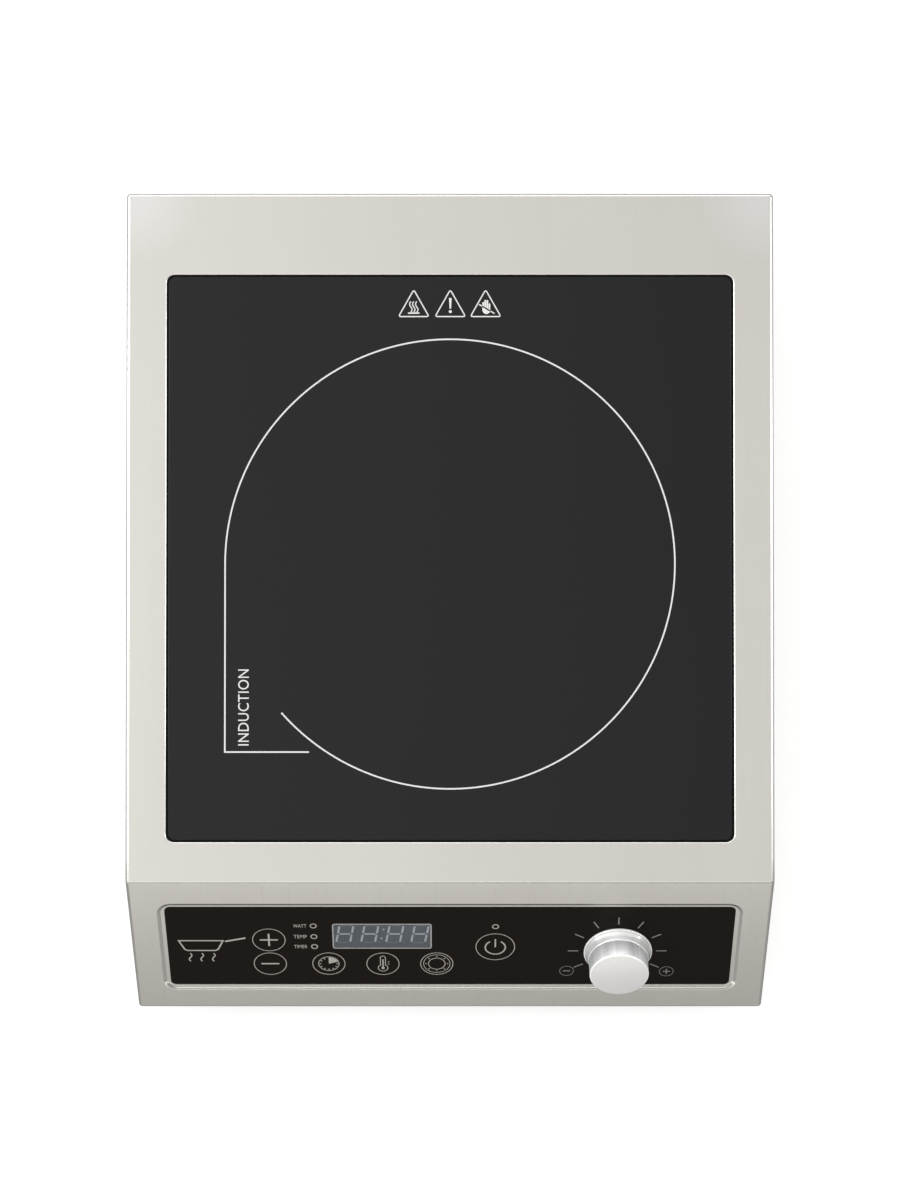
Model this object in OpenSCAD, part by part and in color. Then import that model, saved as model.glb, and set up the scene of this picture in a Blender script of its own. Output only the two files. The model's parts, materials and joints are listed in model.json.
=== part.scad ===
// Countertop induction cooker: folded steel casing, flush ceramic glass and a sloped control front.
// X runs to the right, Y to the back and Z up. The origin is under the middle, on the table.

/* [Casing] */
// Width of the casing
body_w = 327; // [310:1:400]
// Depth of the flat top, from the front crease to the rear edge
top_depth = 348; // [336:1:420]
// Horizontal run of the sloped control front
slope_run = 70; // [68:1:80]
// Height that the sloped control front falls
slope_drop = 64; // [62:1:66]
// Height of the casing without its feet
body_h = 86; // [85:1:110]
// Thickness of the casing's steel sheet
sheet_t = 1; // [0.8:0.1:1.2]
// Outer radius of the folded edges
bend_r = 2; // [1.6:0.1:3]
// Thickness of the base plate
base_t = 1.2; // [1:0.1:2]
// Width of the flange folded in under the casing's walls
flange_w = 12; // [11:1:13]
// Width of the frame that the casing leaves beside the rear panel
rear_frame = 16; // [14:1:20]
// Height of the frame that the casing leaves over the rear panel
rear_frame_top = 20; // [16:1:24]
// Overlap of the rear panel behind its frame
rear_lap = 7; // [6:0.5:9]

/* [Vents] */
// Width of a vent slot
vent_w = 3; // [2:0.5:4]
// Distance from one vent slot to the next
vent_pitch = 8; // [7:0.5:9]
// Height of a wall vent slot
vent_h = 28; // [20:1:34]
// Height of the wall vents above the base plate
vent_rise = 18; // [14:1:24]
// Number of vent slots in each side wall
side_vents = 14; // [6:1:18]
// Number of vent slots in the rear wall
rear_vents = 18; // [6:1:20]
// Distance from the front crease to the middle of the side vents
side_vent_mid = 196; // [170:1:230]
// Length of the fan inlet slots in the base plate
inlet_l = 76; // [60:1:84]

/* [Feet] */
// Height of a rubber foot
foot_h = 14; // [12:1:20]
// Diameter of a rubber foot
foot_d = 30; // [26:1:36]
// Distance from the casing's edges to a foot's centre
foot_inset = 34; // [30:1:40]
// Diameter of the recess that hides a foot's screw
foot_cup_d = 12; // [11:0.5:14]

/* [Glass] */
// Side of the square ceramic glass
glass_w = 285; // [270:1:288]
// Thickness of the glass
glass_t = 4; // [3.8:0.1:5]
// Distance from the front crease to the glass
glass_front = 21; // [18:1:30]
// Corner radius of the glass
glass_corner = 3.5; // [2:0.5:8]
// Gap between the glass and the steel around it
glass_gap = 0.5; // [0.4:0.1:1]
// Thickness of the silicone seal under the glass
seal_t = 0.8; // [0.6:0.1:1.2]
// Width of the ledge that the glass rests on
seat_w = 9; // [8:0.5:12]

/* [Control front] */
// Width of the control overlay
overlay_w = 290.7; // [280:0.1:296]
// Height of the control overlay along the slope
overlay_l = 59; // [58:0.1:60]
// Distance down the slope from the crease to the overlay
overlay_top = 19.5; // [18:0.1:20]
// Thickness of the control overlay
overlay_t = 0.6; // [0.4:0.1:0.8]
// Corner radius of the control overlay
overlay_corner = 3; // [2:0.5:5]
// Depth of the pressed recess, from the slope to the recess floor
recess_depth = 1.8; // [1.6:0.1:2.2]
// Width of the band between the overlay and the recess wall
recess_band = 2.3; // [2:0.1:2.5]
// Width of the window behind the touch keys
window_w = 153; // [150:1:156]
// Height of the window behind the touch keys
window_l = 48; // [47:1:50]
// Width of the display module
display_w = 50.3; // [48:0.1:51]
// Height of the display module
display_l = 19; // [18:0.1:20]
// Depth of the display module
display_t = 8; // [7:0.5:8.5]
// Diameter of a touch spring
touch_d = 7; // [6:0.5:9]
// Distance from one touch key to the next
key_pitch = 28; // [26:0.5:29]
// Diameter of an indicator lamp
lamp_d = 3; // [2:0.5:3.5]

/* [Knob] */
// Distance of the knob's axis from the middle
knob_x = 86.5; // [82:0.5:110]
// Distance down the slope from the crease to the knob's axis
knob_down = 52; // [48:0.5:54]
// Diameter of the knob
knob_d = 30.5; // [28:0.5:40]
// Diameter of the knob's skirt
skirt_d = 35.2; // [33:0.1:44]
// Height of the knob above the overlay
knob_h = 17; // [15:0.5:22]
// Gap between the knob and the overlay
knob_gap = 0.8; // [0.5:0.1:1.5]
// Diameter of the control shaft
shaft_d = 6; // [5:0.1:6.4]
// Diameter of the threaded bushing around the shaft
bushing_d = 8.8; // [8.4:0.1:9.4]

/* [Coil] */
// Distance that the coil's centre lies in front of the glass's centre
coil_ahead = 2.9; // [0:0.1:5]
// Distance from the glass's edge to the coil
coil_margin = 32.5; // [28:0.5:50]
// Inner diameter of the coil
coil_hole = 60; // [50:1:70]
// Thickness of the litz winding
litz_d = 4.6; // [3:0.1:5]
// Number of turns in the coil
coil_turns = 20; // [12:1:24]
// Number of ferrite bars
ferrites = 8; // [4:1:8]
// Height of the coil springs
spring_h = 17.5; // [14:0.5:20]

/* [Cooling fans] */
// Side of a fan
fan_w = 92; // [80:1:92]
// Thickness of a fan
fan_t = 25; // [20:1:25]
// Distance between a fan's screw holes
fan_holes = 82.5; // [71.5:0.5:82.5]
// Distance from the crease to the front fan's centre
fan_front = 95; // [90:1:100]
// Distance between the two fans
fan_pitch = 120; // [116:1:130]
// Diameter of a fan's hub
hub_d = 38; // [30:1:40]
// Number of blades on a fan
blades = 7; // [5:2:9]

/* [Mains entry] */
// Outer diameter of the cable bush's thread
bush_d = 20; // [16:0.5:24]
// Diameter of the hole for the mains cable
cable_d = 10.5; // [8:0.5:12]
// Distance that the bush stands out of the rear wall
bush_out = 8; // [6:0.5:9]
// Distance of the bush from the middle
bush_x = 98; // [90:1:104]
// Height of the bush above the base plate
bush_rise = 26; // [24:1:32]

/* [Power board] */
// Width of the power board
board_w = 180; // [176:1:182]
// Length of the power board
board_l = 215; // [205:1:225]
// Thickness of both circuit boards
board_t = 1.6; // [1.2:0.2:2]
// Height of the board spacers
spacer_h = 10; // [8:0.5:12]
// Width of the heat sink
sink_w = 72; // [60:1:76]
// Length of the heat sink
sink_l = 120; // [100:1:130]
// Height of the heat sink
sink_h = 36; // [30:1:37]
// Number of fins on the heat sink
fins = 9; // [5:1:10]

/* [Fits] */
// Running clearance on the radius of a turning shaft
run_fit = 0.04; // [0.03:0.01:0.06]
// Clearance around a piece that slips into another
slip_fit = 0.2; // [0.1:0.05:0.3]
// Diameter of the M4 casing screws
screw_d = 3.8; // [3.4:0.1:4]
// Diameter of the M3 inner screws
small_screw_d = 2.9; // [2.5:0.1:3]

/* [Hidden] */
$fn = 48;
tiny = 0.01;
cut = 1;

// Casing
casing_l = top_depth + slope_run;
y_front = -(casing_l + bush_out) / 2;
y_rear = y_front + casing_l;
y_mid = (y_front + y_rear) / 2;
y_crease = y_front + slope_run;
z_base = foot_h + base_t;
z_flange = z_base + sheet_t;
z_top = foot_h + body_h;
z_lip = z_top - slope_drop;
slope = atan2(slope_drop, slope_run);
hole_d = screw_d + 2 * slip_fit;
nut_h = 3.2;
screw_head_d = 8;
screw_head_h = 2.4;

// The middle of each fold's bend, as [y, z], from the front fold to the rear one
folds = [[y_front + bend_r, z_lip - bend_r * (1 - sin(slope)) / cos(slope)],
    [y_crease + bend_r * (1 - cos(slope)) / sin(slope), z_top - bend_r],
    [y_rear - bend_r, z_top - bend_r]];

// Casing screws, as [x, y], all around the flange
screw_x = body_w / 2 - flange_w / 2 - sheet_t / 2;
screw_rows = [y_front + 45, y_front + 150, y_rear - 110, y_rear - 30];
end_screw_x = 70;
end_screw_in = flange_w / 2 + sheet_t / 2;
casing_holes = concat([for (side = [-1, 1], y = screw_rows) [side * screw_x, y]],
    [for (side = [-1, 1], y = [y_front + end_screw_in, y_rear - end_screw_in])
        [side * end_screw_x, y]]);

// Rear panel, held from inside against the frame around its opening
rear_low = z_base + 8;
rear_high = z_top - rear_frame_top;
rear_mid = (rear_low + rear_high) / 2;
rear_w = body_w - 2 * rear_frame;
rear_h = rear_high - rear_low;
rear_screw_x = body_w / 2 - rear_frame / 2 - sheet_t;
rear_holes = [for (x = [-rear_screw_x, rear_screw_x], z = [rear_low + 8, rear_high - 8]) [x, z]];
y_panel = y_rear - sheet_t;

// Feet
foot_x = body_w / 2 - foot_inset;
foot_web = foot_h - 6;
foot_holes = [for (side = [-1, 1], y = [y_front + foot_inset, y_rear - foot_inset])
    [side * foot_x, y]];

// Glass
y_glass = y_crease + glass_front + glass_w / 2;
z_glass = z_top - glass_t;
z_seat = z_glass - seal_t;
opening_w = glass_w + 2 * glass_gap;
seat_hole_w = opening_w - 2 * seat_w;

// Control front
overlay_mid = overlay_top + overlay_l / 2;
overlay_face = overlay_t - recess_depth;
window_x = -31.5;
window_down = overlay_mid + 0.8;
floor_back = -recess_depth - sheet_t;
carrier_rim = 3;
carrier_t = 2;
carrier_back = floor_back - carrier_t;
panel_board_gap = 10;
panel_board_z = floor_back - panel_board_gap;
panel_board_w = window_w + 4;
panel_board_l = window_l + 1;
tray_wall = 2;
tray_depth = 17;
tray_back = floor_back - tray_depth;
tray_w = panel_board_w + 12;
tray_l = panel_board_l + 10;
tray_floor = tray_back + 1.5;
ear_w = 9;
stud_x = tray_w / 2 + ear_w / 2;
stud_down = 18;
display_x = -34.8;
display_down = 41;
lamps = [[-69.8, 33.4], [-69.8, 41.4], [-69.8, 49.2], [23.3, 33.7]];
buzzer_place = [36, 58];
keys = [[-93, 44], [-93, 62.2], [display_x - key_pitch, 62.2], [display_x, 62.2],
    [display_x + key_pitch, 62.2], [23.3, 49.2]];

// Knob, in heights above the slope
knob_low = overlay_face + knob_gap;
knob_high = overlay_face + knob_h;
skirt_h = 6;
knob_wall = 1.6;
cap_t = 1;
cap_edge = 0.8;
pot_w = 17;
pot_t = 7;
pot_nut_h = 2;
bushing_top = overlay_face + pot_nut_h + 1.4;
core_low = bushing_top + 0.4;
core_web = 2;
hub_wall = 2.5;
shaft_low = floor_back - pot_t + 1;
shaft_high = knob_high - cap_t - core_web;
flat_cut = 1.2;

// Coil
y_coil = y_glass - coil_ahead;
coil_d = glass_w - 2 * coil_margin;
sheet_ins_t = 1;
z_coil = z_glass - sheet_ins_t - slip_fit - litz_d;
carrier_plate_t = 3;
z_carrier = z_coil - carrier_plate_t;
carrier_d = coil_d + 4;
ferrite_h = 6;
ferrite_w = 15;
ferrite_l = (carrier_d - coil_hole) / 2 - 27;
z_support = z_carrier - spring_h;
support_t = 1.5;
support_l = 100;
support_x = body_w / 2 - flange_w - 1.5;
support_foot_l = 9;
sensor_d = 16;
sensor_rim_d = 24;
spring_ring_d = carrier_d - 18;
spring_turns = 5;
spring_d = 12;
spring_wire = 1.4;
springs = 4;

// Fans
fan_x = support_x - support_t - 2 - fan_w / 2;
fan_rows = [y_crease + fan_front, y_crease + fan_front + fan_pitch];
fan_bore_d = fan_w - 5;
fan_tip_gap = 1.5;
fan_shaft_d = 3;
stator_d = hub_d - 8;
hub_wall_t = 1.6;
fan_screw_l = 11;

// Mains entry
z_bush = z_base + bush_rise;
bush_flange_d = bush_d + 7;
bush_flange_t = 3;
bush_high = bush_out + sheet_t;
bush_tail = 14;
bush_nut_t = 5;

// Power board
board_x = -40;
board_front = 30;
z_board = z_base + spacer_h;
z_parts = z_board + board_t;
board_edge = 6;
board_holes = [for (x = [board_edge, board_w - board_edge],
    y = [board_edge, board_l / 2, board_l - board_edge]) [x, y]];
sink_x = 12;
sink_y = 62;
sink_gap = 6.6;
slab_t = 5;
fin_t = 1.6;
lead_x = [60, 76];

// Lifts children to a place on the sloped front: x across, down the slope, out of it.
module on_slope(x = 0, down = 0, out = 0) {
    translate([0, y_crease, z_top])
        rotate([slope, 0, 0])
            translate([x, -down, out])
                children();
}

// Lifts children to a place on the power board, from its front left corner.
module on_board(x, y, up = 0) {
    translate([board_x + x, y_crease + board_front + y, z_parts + up])
        children();
}

// A flat plate with rounded corners, centred, from z = 0 up.
module plate(w, l, t, r) {
    linear_extrude(t)
        offset(r)
            square([w - 2 * r, l - 2 * r], center = true);
}

// A box centred in x and y, from z = 0 up.
module box(w, l, h) {
    translate([-w / 2, -l / 2, 0])
        cube([w, l, h]);
}

// A screw with its cross-slotted head below z = 0 and its shank above.
module screw(d, length, head_d, head_h) {
    difference() {
        union() {
            cylinder(d = d, h = length);
            translate([0, 0, -head_h])
                cylinder(d1 = head_d * 0.72, d2 = head_d, h = head_h);
        }
        for (turn = [0, 90])
            rotate([0, 0, turn])
                translate([0, 0, -head_h - cut])
                    box(head_d * 0.5, head_d * 0.12, cut + head_h * 0.5);
    }
}

// A hexagonal nut across flats, bored to clear its screw.
module hex_nut(flats, bore, h) {
    difference() {
        cylinder(d = flats / cos(30), h = h, $fn = 6);
        translate([0, 0, -cut])
            cylinder(d = bore, h = h + 2 * cut);
    }
}

// A skin over rings of points, each ring with the same number of sides.
module ring_skin(points, rings, sides) {
    last = (rings - 1) * sides;
    walls = [for (i = [0 : rings - 2], j = [0 : sides - 1])
        let (k = (j + 1) % sides)
            [i * sides + j, i * sides + k, (i + 1) * sides + k, (i + 1) * sides + j]];
    near_end = [for (j = [sides - 1 : -1 : 0]) j];
    far_end = [for (j = [0 : sides - 1]) last + j];
    polyhedron(points, concat(walls, [near_end, far_end]), convexity = 6);
}

// A round wire wound into a coil spring from z = 0 up.
module wire_spring(d, wire, h, turns, steps, sides) {
    r = (d - wire) / 2;
    rings = turns * steps + 1;
    points = [for (i = [0 : rings - 1], j = [0 : sides - 1])
        let (a = 360 * i / steps, b = 360 * j / sides, reach = r + wire / 2 * cos(b))
            [reach * cos(a), reach * sin(a),
             wire / 2 + wire / 2 * sin(b) + (h - wire) * i / (rings - 1)]];
    ring_skin(points, rings, sides);
}

// A round wire along a route of [y, z] points at one x.
module wire_route(x, route, d, sides) {
    n = len(route);
    points = [for (i = [0 : n - 1], j = [0 : sides - 1])
        let (t = route[min(i + 1, n - 1)] - route[max(i - 1, 0)], u = t / norm(t),
             b = 360 * j / sides, reach = d / 2)
            [x + reach * cos(b), route[i][0] - reach * sin(b) * u[1],
             route[i][1] + reach * sin(b) * u[0]]];
    ring_skin(points, n, sides);
}

// The half round that turns into a bend's corner.
module bend_ball(r) {
    rotate([0, 90, 0])
        rotate_extrude($fn = 32)
            polygon([for (a = [-90 : 15 : 90]) [r * cos(a), r * sin(a)]]);
}

// The casing's outer form, or its inner one when inset by the sheet.
module casing_form(inset, z_low) {
    r = bend_r - inset;
    hull()
        for (side = [-1, 1])
            translate([side * (body_w / 2 - bend_r), 0, 0]) {
                for (fold = folds)
                    translate([0, fold[0], fold[1]])
                        bend_ball(r);
                for (y = [y_front + bend_r, y_rear - bend_r])
                    translate([0, y, z_low])
                        cylinder(r = r, h = 1, $fn = 32);
            }
}

// Vent slots in a row along x, centred, as tall boxes through a wall.
module slot_row(count, w, l, h) {
    for (i = [0 : count - 1])
        translate([(i - (count - 1) / 2) * vent_pitch, 0, 0])
            box(w, l, h);
}

module upper_casing() {
    color("gainsboro")
        difference() {
            union() {
                difference() {
                    casing_form(0, z_base);
                    casing_form(sheet_t, z_flange);
                }
                translate([0, y_glass, z_seat - sheet_t])
                    box(opening_w + 2 * sheet_t, opening_w + 2 * sheet_t,
                        z_top - z_seat + sheet_t / 2);
                on_slope(0, overlay_mid, floor_back)
                    box(overlay_w + 2 * (recess_band + sheet_t),
                        overlay_l + 2 * (recess_band + sheet_t), recess_depth + sheet_t / 2);
            }
            translate([0, y_glass, z_seat])
                plate(opening_w, opening_w, z_top - z_seat + cut, glass_corner + glass_gap);
            translate([0, y_glass, z_seat - sheet_t - cut])
                box(seat_hole_w, seat_hole_w, sheet_t + 2 * cut);
            on_slope(0, overlay_mid, -recess_depth)
                plate(overlay_w + 2 * recess_band, overlay_l + 2 * recess_band,
                    recess_depth + cut, overlay_corner + recess_band);
            on_slope(window_x, window_down, floor_back - cut)
                box(window_w, window_l, sheet_t + 2 * cut);
            on_slope(knob_x, knob_down, floor_back - cut)
                cylinder(d = bushing_d + 2 * slip_fit, h = sheet_t + 2 * cut);
            translate([0, y_mid, z_base - cut])
                box(body_w - 2 * flange_w, casing_l - 2 * flange_w, sheet_t + 2 * cut);
            for (hole = casing_holes)
                translate([hole[0], hole[1], z_base - cut])
                    cylinder(d = hole_d, h = sheet_t + 2 * cut);
            for (side = [-1, 1])
                translate([side * (body_w / 2 - sheet_t / 2), y_crease + side_vent_mid,
                    z_base + vent_rise])
                    rotate([0, 0, 90])
                        slot_row(side_vents, vent_w, 2 * sheet_t + cut, vent_h);
            translate([0, y_rear, rear_low])
                box(rear_w, 2 * sheet_t + cut, rear_h);
            for (hole = rear_holes)
                translate([hole[0], y_rear + cut, hole[1]])
                    rotate([90, 0, 0])
                        cylinder(d = hole_d, h = sheet_t + 2 * cut);
        }
}

module rear_panel() {
    color("gainsboro")
        difference() {
            translate([0, y_panel - sheet_t / 2, rear_mid - rear_h / 2 - rear_lap])
                box(rear_w + 2 * rear_lap + 4, sheet_t, rear_h + 2 * rear_lap);
            translate([-50, y_panel, z_base + vent_rise])
                slot_row(rear_vents, vent_w, 2 * sheet_t + cut, vent_h);
            translate([bush_x, y_panel + cut, z_bush])
                rotate([90, 0, 0])
                    cylinder(d = bush_d + 2 * slip_fit, h = sheet_t + 2 * cut);
            for (hole = rear_holes)
                translate([hole[0], y_panel + cut, hole[1]])
                    rotate([90, 0, 0])
                        cylinder(d = hole_d, h = sheet_t + 2 * cut);
        }
}

module base_plate() {
    color("silver")
        translate([0, 0, foot_h])
            difference() {
                translate([0, y_mid, 0])
                    plate(body_w, casing_l, base_t, bend_r);
                for (hole = concat(casing_holes, foot_holes))
                    translate([hole[0], hole[1], -cut])
                        cylinder(d = hole_d, h = base_t + 2 * cut);
                for (y = fan_rows) {
                    translate([-fan_x, y, -cut])
                        slot_row(9, vent_w + 1, inlet_l, base_t + 2 * cut);
                    for (sx = [-1, 1], sy = [-1, 1])
                        translate([-fan_x + sx * fan_holes / 2, y + sy * fan_holes / 2, -cut])
                            cylinder(d = hole_d, h = base_t + 2 * cut);
                }
            }
}

module glass_plate() {
    color([0.16, 0.15, 0.16])
        translate([0, y_glass, z_glass])
            plate(glass_w, glass_w, glass_t, glass_corner);
}

module glass_seal() {
    color([0.05, 0.05, 0.05])
        translate([0, y_glass, z_seat])
            difference() {
                plate(opening_w - tiny, opening_w - tiny, seal_t + glass_t - 0.6,
                    glass_corner + glass_gap);
                translate([0, 0, seal_t])
                    plate(glass_w, glass_w, glass_t, glass_corner);
                translate([0, 0, -cut])
                    box(seat_hole_w + 2, seat_hole_w + 2, seal_t + 2 * cut);
            }
}

// A rubber foot around its screw.
module foot(hole) {
    color([0.08, 0.08, 0.08])
        translate([hole[0], hole[1], 0])
            rotate_extrude()
                polygon([[hole_d / 2, foot_web], [hole_d / 2, foot_h], [foot_d / 2, foot_h],
                    [foot_d / 2, foot_h - 3], [foot_d / 2 - 2.4, 1.2], [foot_d / 2 - 3.6, 0],
                    [foot_cup_d / 2, 0], [foot_cup_d / 2, foot_web]]);
}

module foot_screws() {
    color("silver")
        for (hole = foot_holes)
            translate([hole[0], hole[1], 0]) {
                translate([0, 0, foot_web])
                    screw(screw_d, z_base + nut_h + 2 - foot_web, screw_head_d, screw_head_h);
                translate([0, 0, z_base])
                    hex_nut(7, screw_d + slip_fit, nut_h);
            }
}

module casing_screws() {
    color("silver") {
        for (hole = casing_holes)
            translate([hole[0], hole[1], foot_h])
                screw(screw_d, base_t + sheet_t + 6, screw_head_d, screw_head_h);
        for (hole = casing_holes)
            translate([hole[0], hole[1], z_flange])
                hex_nut(7, screw_d + slip_fit, nut_h);
        for (hole = rear_holes)
            translate([hole[0], y_rear, hole[1]])
                rotate([90, 0, 0])
                    screw(screw_d, 2 * sheet_t + 5, screw_head_d, screw_head_h);
    }
}

module control_overlay() {
    color([0.11, 0.1, 0.09])
        on_slope(0, overlay_mid, -recess_depth)
            difference() {
                plate(overlay_w, overlay_l, overlay_t, overlay_corner);
                translate([knob_x, overlay_mid - knob_down, -cut])
                    cylinder(d = bushing_d + 2 * slip_fit, h = overlay_t + 2 * cut);
            }
}

module cable_bush() {
    color([0.1, 0.1, 0.1])
        translate([bush_x, y_panel, z_bush])
            rotate([-90, 0, 0])
                rotate_extrude()
                    polygon([[cable_d / 2, -bush_tail], [bush_d / 2, -bush_tail],
                        [bush_d / 2, 0], [bush_flange_d / 2, 0],
                        [bush_flange_d / 2, bush_flange_t - 1],
                        [bush_flange_d / 2 - 1, bush_flange_t],
                        [bush_d / 2, bush_flange_t], [cable_d / 2 + 2, bush_high],
                        [cable_d / 2, bush_high]]);
}

module cable_bush_nut() {
    color([0.14, 0.14, 0.14])
        translate([bush_x, y_panel - sheet_t, z_bush])
            rotate([90, 0, 0])
                hex_nut(bush_d + 6, bush_d + slip_fit, bush_nut_t);
}

module earth_stud() {
    color("goldenrod")
        translate([30, y_rear - 55, z_base]) {
            cylinder(d = 4, h = 14);
            for (lift = [0.2, 5])
                translate([0, 0, lift])
                    hex_nut(7, 4 + slip_fit, nut_h);
            translate([0, 0, 0.2 + nut_h])
                difference() {
                    union() {
                        cylinder(d = 9, h = 1);
                        translate([8, 0, 0])
                            box(14, 4, 1);
                    }
                    translate([0, 0, -cut])
                        cylinder(d = 4 + slip_fit, h = 1 + 2 * cut);
                }
        }
}

module knob_body() {
    color("silver")
        on_slope(knob_x, knob_down)
            rotate_extrude()
                polygon([[knob_d / 2 - knob_wall, knob_low + skirt_h],
                    [knob_d / 2, knob_low + skirt_h], [knob_d / 2, knob_high - cap_t],
                    [knob_d / 2 - knob_wall, knob_high - cap_t]]);
}

module knob_skirt() {
    color("white")
        on_slope(knob_x, knob_down)
            rotate_extrude()
                polygon([[knob_d / 2 - knob_wall, knob_low], [skirt_d / 2, knob_low],
                    [skirt_d / 2, knob_low + 1.2], [skirt_d / 2 - 0.5, knob_low + 1.8],
                    [knob_d / 2 + 0.4, knob_low + skirt_h - 0.6],
                    [knob_d / 2, knob_low + skirt_h],
                    [knob_d / 2 - knob_wall, knob_low + skirt_h]]);
}

module knob_cap() {
    color("gainsboro")
        on_slope(knob_x, knob_down)
            rotate_extrude()
                polygon([[0, knob_high - cap_t], [knob_d / 2, knob_high - cap_t],
                    [knob_d / 2, knob_high - cap_t + 0.2],
                    [knob_d / 2 - cap_edge, knob_high], [0, knob_high]]);
}

module knob_core() {
    color([0.2, 0.2, 0.2])
        on_slope(knob_x, knob_down, core_low)
            difference() {
                union() {
                    cylinder(d = shaft_d + 2 * hub_wall, h = knob_high - cap_t - core_low);
                    translate([0, 0, shaft_high - core_low])
                        cylinder(d = knob_d - 2 * knob_wall - tiny, h = core_web);
                }
                difference() {
                    translate([0, 0, -cut])
                        cylinder(d = shaft_d + 2 * tiny, h = cut + shaft_high - core_low);
                    translate([-shaft_d, shaft_d / 2 - flat_cut + tiny, -2 * cut])
                        cube([2 * shaft_d, shaft_d, shaft_high - core_low + 3 * cut]);
                }
            }
}

module control_shaft() {
    color("lightgray")
        on_slope(knob_x, knob_down, shaft_low)
            difference() {
                cylinder(d = shaft_d, h = shaft_high - shaft_low);
                translate([-shaft_d, shaft_d / 2 - flat_cut, core_low - shaft_low - 0.2])
                    cube([2 * shaft_d, shaft_d, shaft_high - core_low + cut]);
            }
}

module control_pot() {
    color([0.15, 0.3, 0.25])
        on_slope(knob_x, knob_down, floor_back - pot_t)
            difference() {
                union() {
                    box(pot_w, pot_w, pot_t);
                    for (x = [-5, 0, 5])
                        translate([x, -pot_w / 2 - 2, 1])
                            box(1.2, 5, 0.6);
                }
                translate([0, 0, 0.6])
                    cylinder(d = shaft_d + 2, h = pot_t);
            }
}

module pot_bushing() {
    color("silver")
        on_slope(knob_x, knob_down, floor_back)
            difference() {
                cylinder(d = bushing_d, h = bushing_top - floor_back);
                translate([0, 0, -cut])
                    cylinder(d = shaft_d + 2 * run_fit, h = bushing_top - floor_back + 2 * cut);
            }
}

module pot_nut() {
    color("silver")
        on_slope(knob_x, knob_down, overlay_face)
            hex_nut(bushing_d + 3, bushing_d + slip_fit, pot_nut_h);
}

module touch_carrier() {
    color("whitesmoke")
        on_slope(window_x, window_down, carrier_back)
            difference() {
                union() {
                    box(window_w + 2 * carrier_rim, window_l + 2 * carrier_rim, carrier_t);
                    box(window_w - 2 * slip_fit, window_l - 2 * slip_fit, carrier_t + sheet_t);
                }
                translate([display_x - window_x, window_down - display_down, -cut])
                    box(display_w + 2 * slip_fit, display_l + 2 * slip_fit, 3 * carrier_t);
                for (key = keys)
                    translate([key[0] - window_x, window_down - key[1], -cut])
                        cylinder(d = touch_d + 2, h = 3 * carrier_t);
                for (lamp = lamps)
                    translate([lamp[0] - window_x, window_down - lamp[1], -cut])
                        cylinder(d = lamp_d + 0.6, h = 3 * carrier_t);
            }
}

module display_module() {
    color([0.75, 0.75, 0.75])
        on_slope(display_x, display_down, -recess_depth - slip_fit) {
            translate([0, 0, -display_t])
                box(display_w, display_l, display_t);
            for (i = [-3 : 3], row = [-1, 1])
                translate([i * 5.08, row * (display_l / 2 - 2), panel_board_z + recess_depth + slip_fit])
                    box(0.6, 0.6, panel_board_gap - display_t + sheet_t);
        }
}

module indicator_lamps() {
    color("mistyrose")
        for (lamp = lamps)
            on_slope(lamp[0], lamp[1], panel_board_z) {
                cylinder(d = lamp_d, h = panel_board_gap - lamp_d / 2);
                translate([0, 0, panel_board_gap - lamp_d / 2])
                    sphere(d = lamp_d);
            }
}

module touch_springs() {
    color("lightgray")
        for (key = keys)
            on_slope(key[0], key[1], panel_board_z)
                wire_spring(touch_d, 0.8, panel_board_gap + sheet_t - slip_fit, 4, 10, 5);
}

module control_board() {
    color("darkgreen")
        on_slope(window_x, window_down, panel_board_z - board_t)
            difference() {
                box(panel_board_w, panel_board_l, board_t);
                for (sx = [-1, 1], sy = [-1, 1])
                    translate([sx * (panel_board_w / 2 - 5), sy * (panel_board_l / 2 - 5), -cut])
                        cylinder(d = small_screw_d + 2 * slip_fit, h = board_t + 2 * cut);
            }
}

module buzzer() {
    color([0.12, 0.12, 0.12])
        on_slope(buzzer_place[0], buzzer_place[1], panel_board_z)
            difference() {
                cylinder(d = 12, h = panel_board_gap - carrier_t - slip_fit);
                translate([0, 0, panel_board_gap - carrier_t - 2])
                    cylinder(d = 2, h = 3);
            }
}

module control_bracket() {
    inner_w = tray_w - 2 * tray_wall;
    inner_l = tray_l - 2 * tray_wall;
    color([0.85, 0.85, 0.82])
        on_slope(window_x, window_down, tray_back)
            difference() {
                union() {
                    difference() {
                        box(tray_w, tray_l, tray_depth);
                        translate([0, 0, tray_floor - tray_back])
                            box(inner_w, inner_l, tray_depth);
                    }
                    for (sx = [-1, 1], sy = [-1, 1]) {
                        translate([sx * (panel_board_w / 2 - 5), sy * (panel_board_l / 2 - 5), 0])
                            cylinder(d = 7, h = panel_board_z - board_t - tray_back);
                        translate([sx * stud_x, sy * stud_down, 0])
                            box(ear_w + 2, 12, 2);
                    }
                }
                for (sx = [-1, 1], sy = [-1, 1]) {
                    translate([sx * (panel_board_w / 2 - 5), sy * (panel_board_l / 2 - 5), 1])
                        cylinder(d = small_screw_d + slip_fit, h = tray_depth);
                    translate([sx * (stud_x + 0.5), sy * stud_down, -cut])
                        cylinder(d = small_screw_d + 2 * slip_fit, h = 2 + 2 * cut);
                }
                translate([50, 0, -cut])
                    box(18, 8, 2 + 2 * cut);
            }
}

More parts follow.
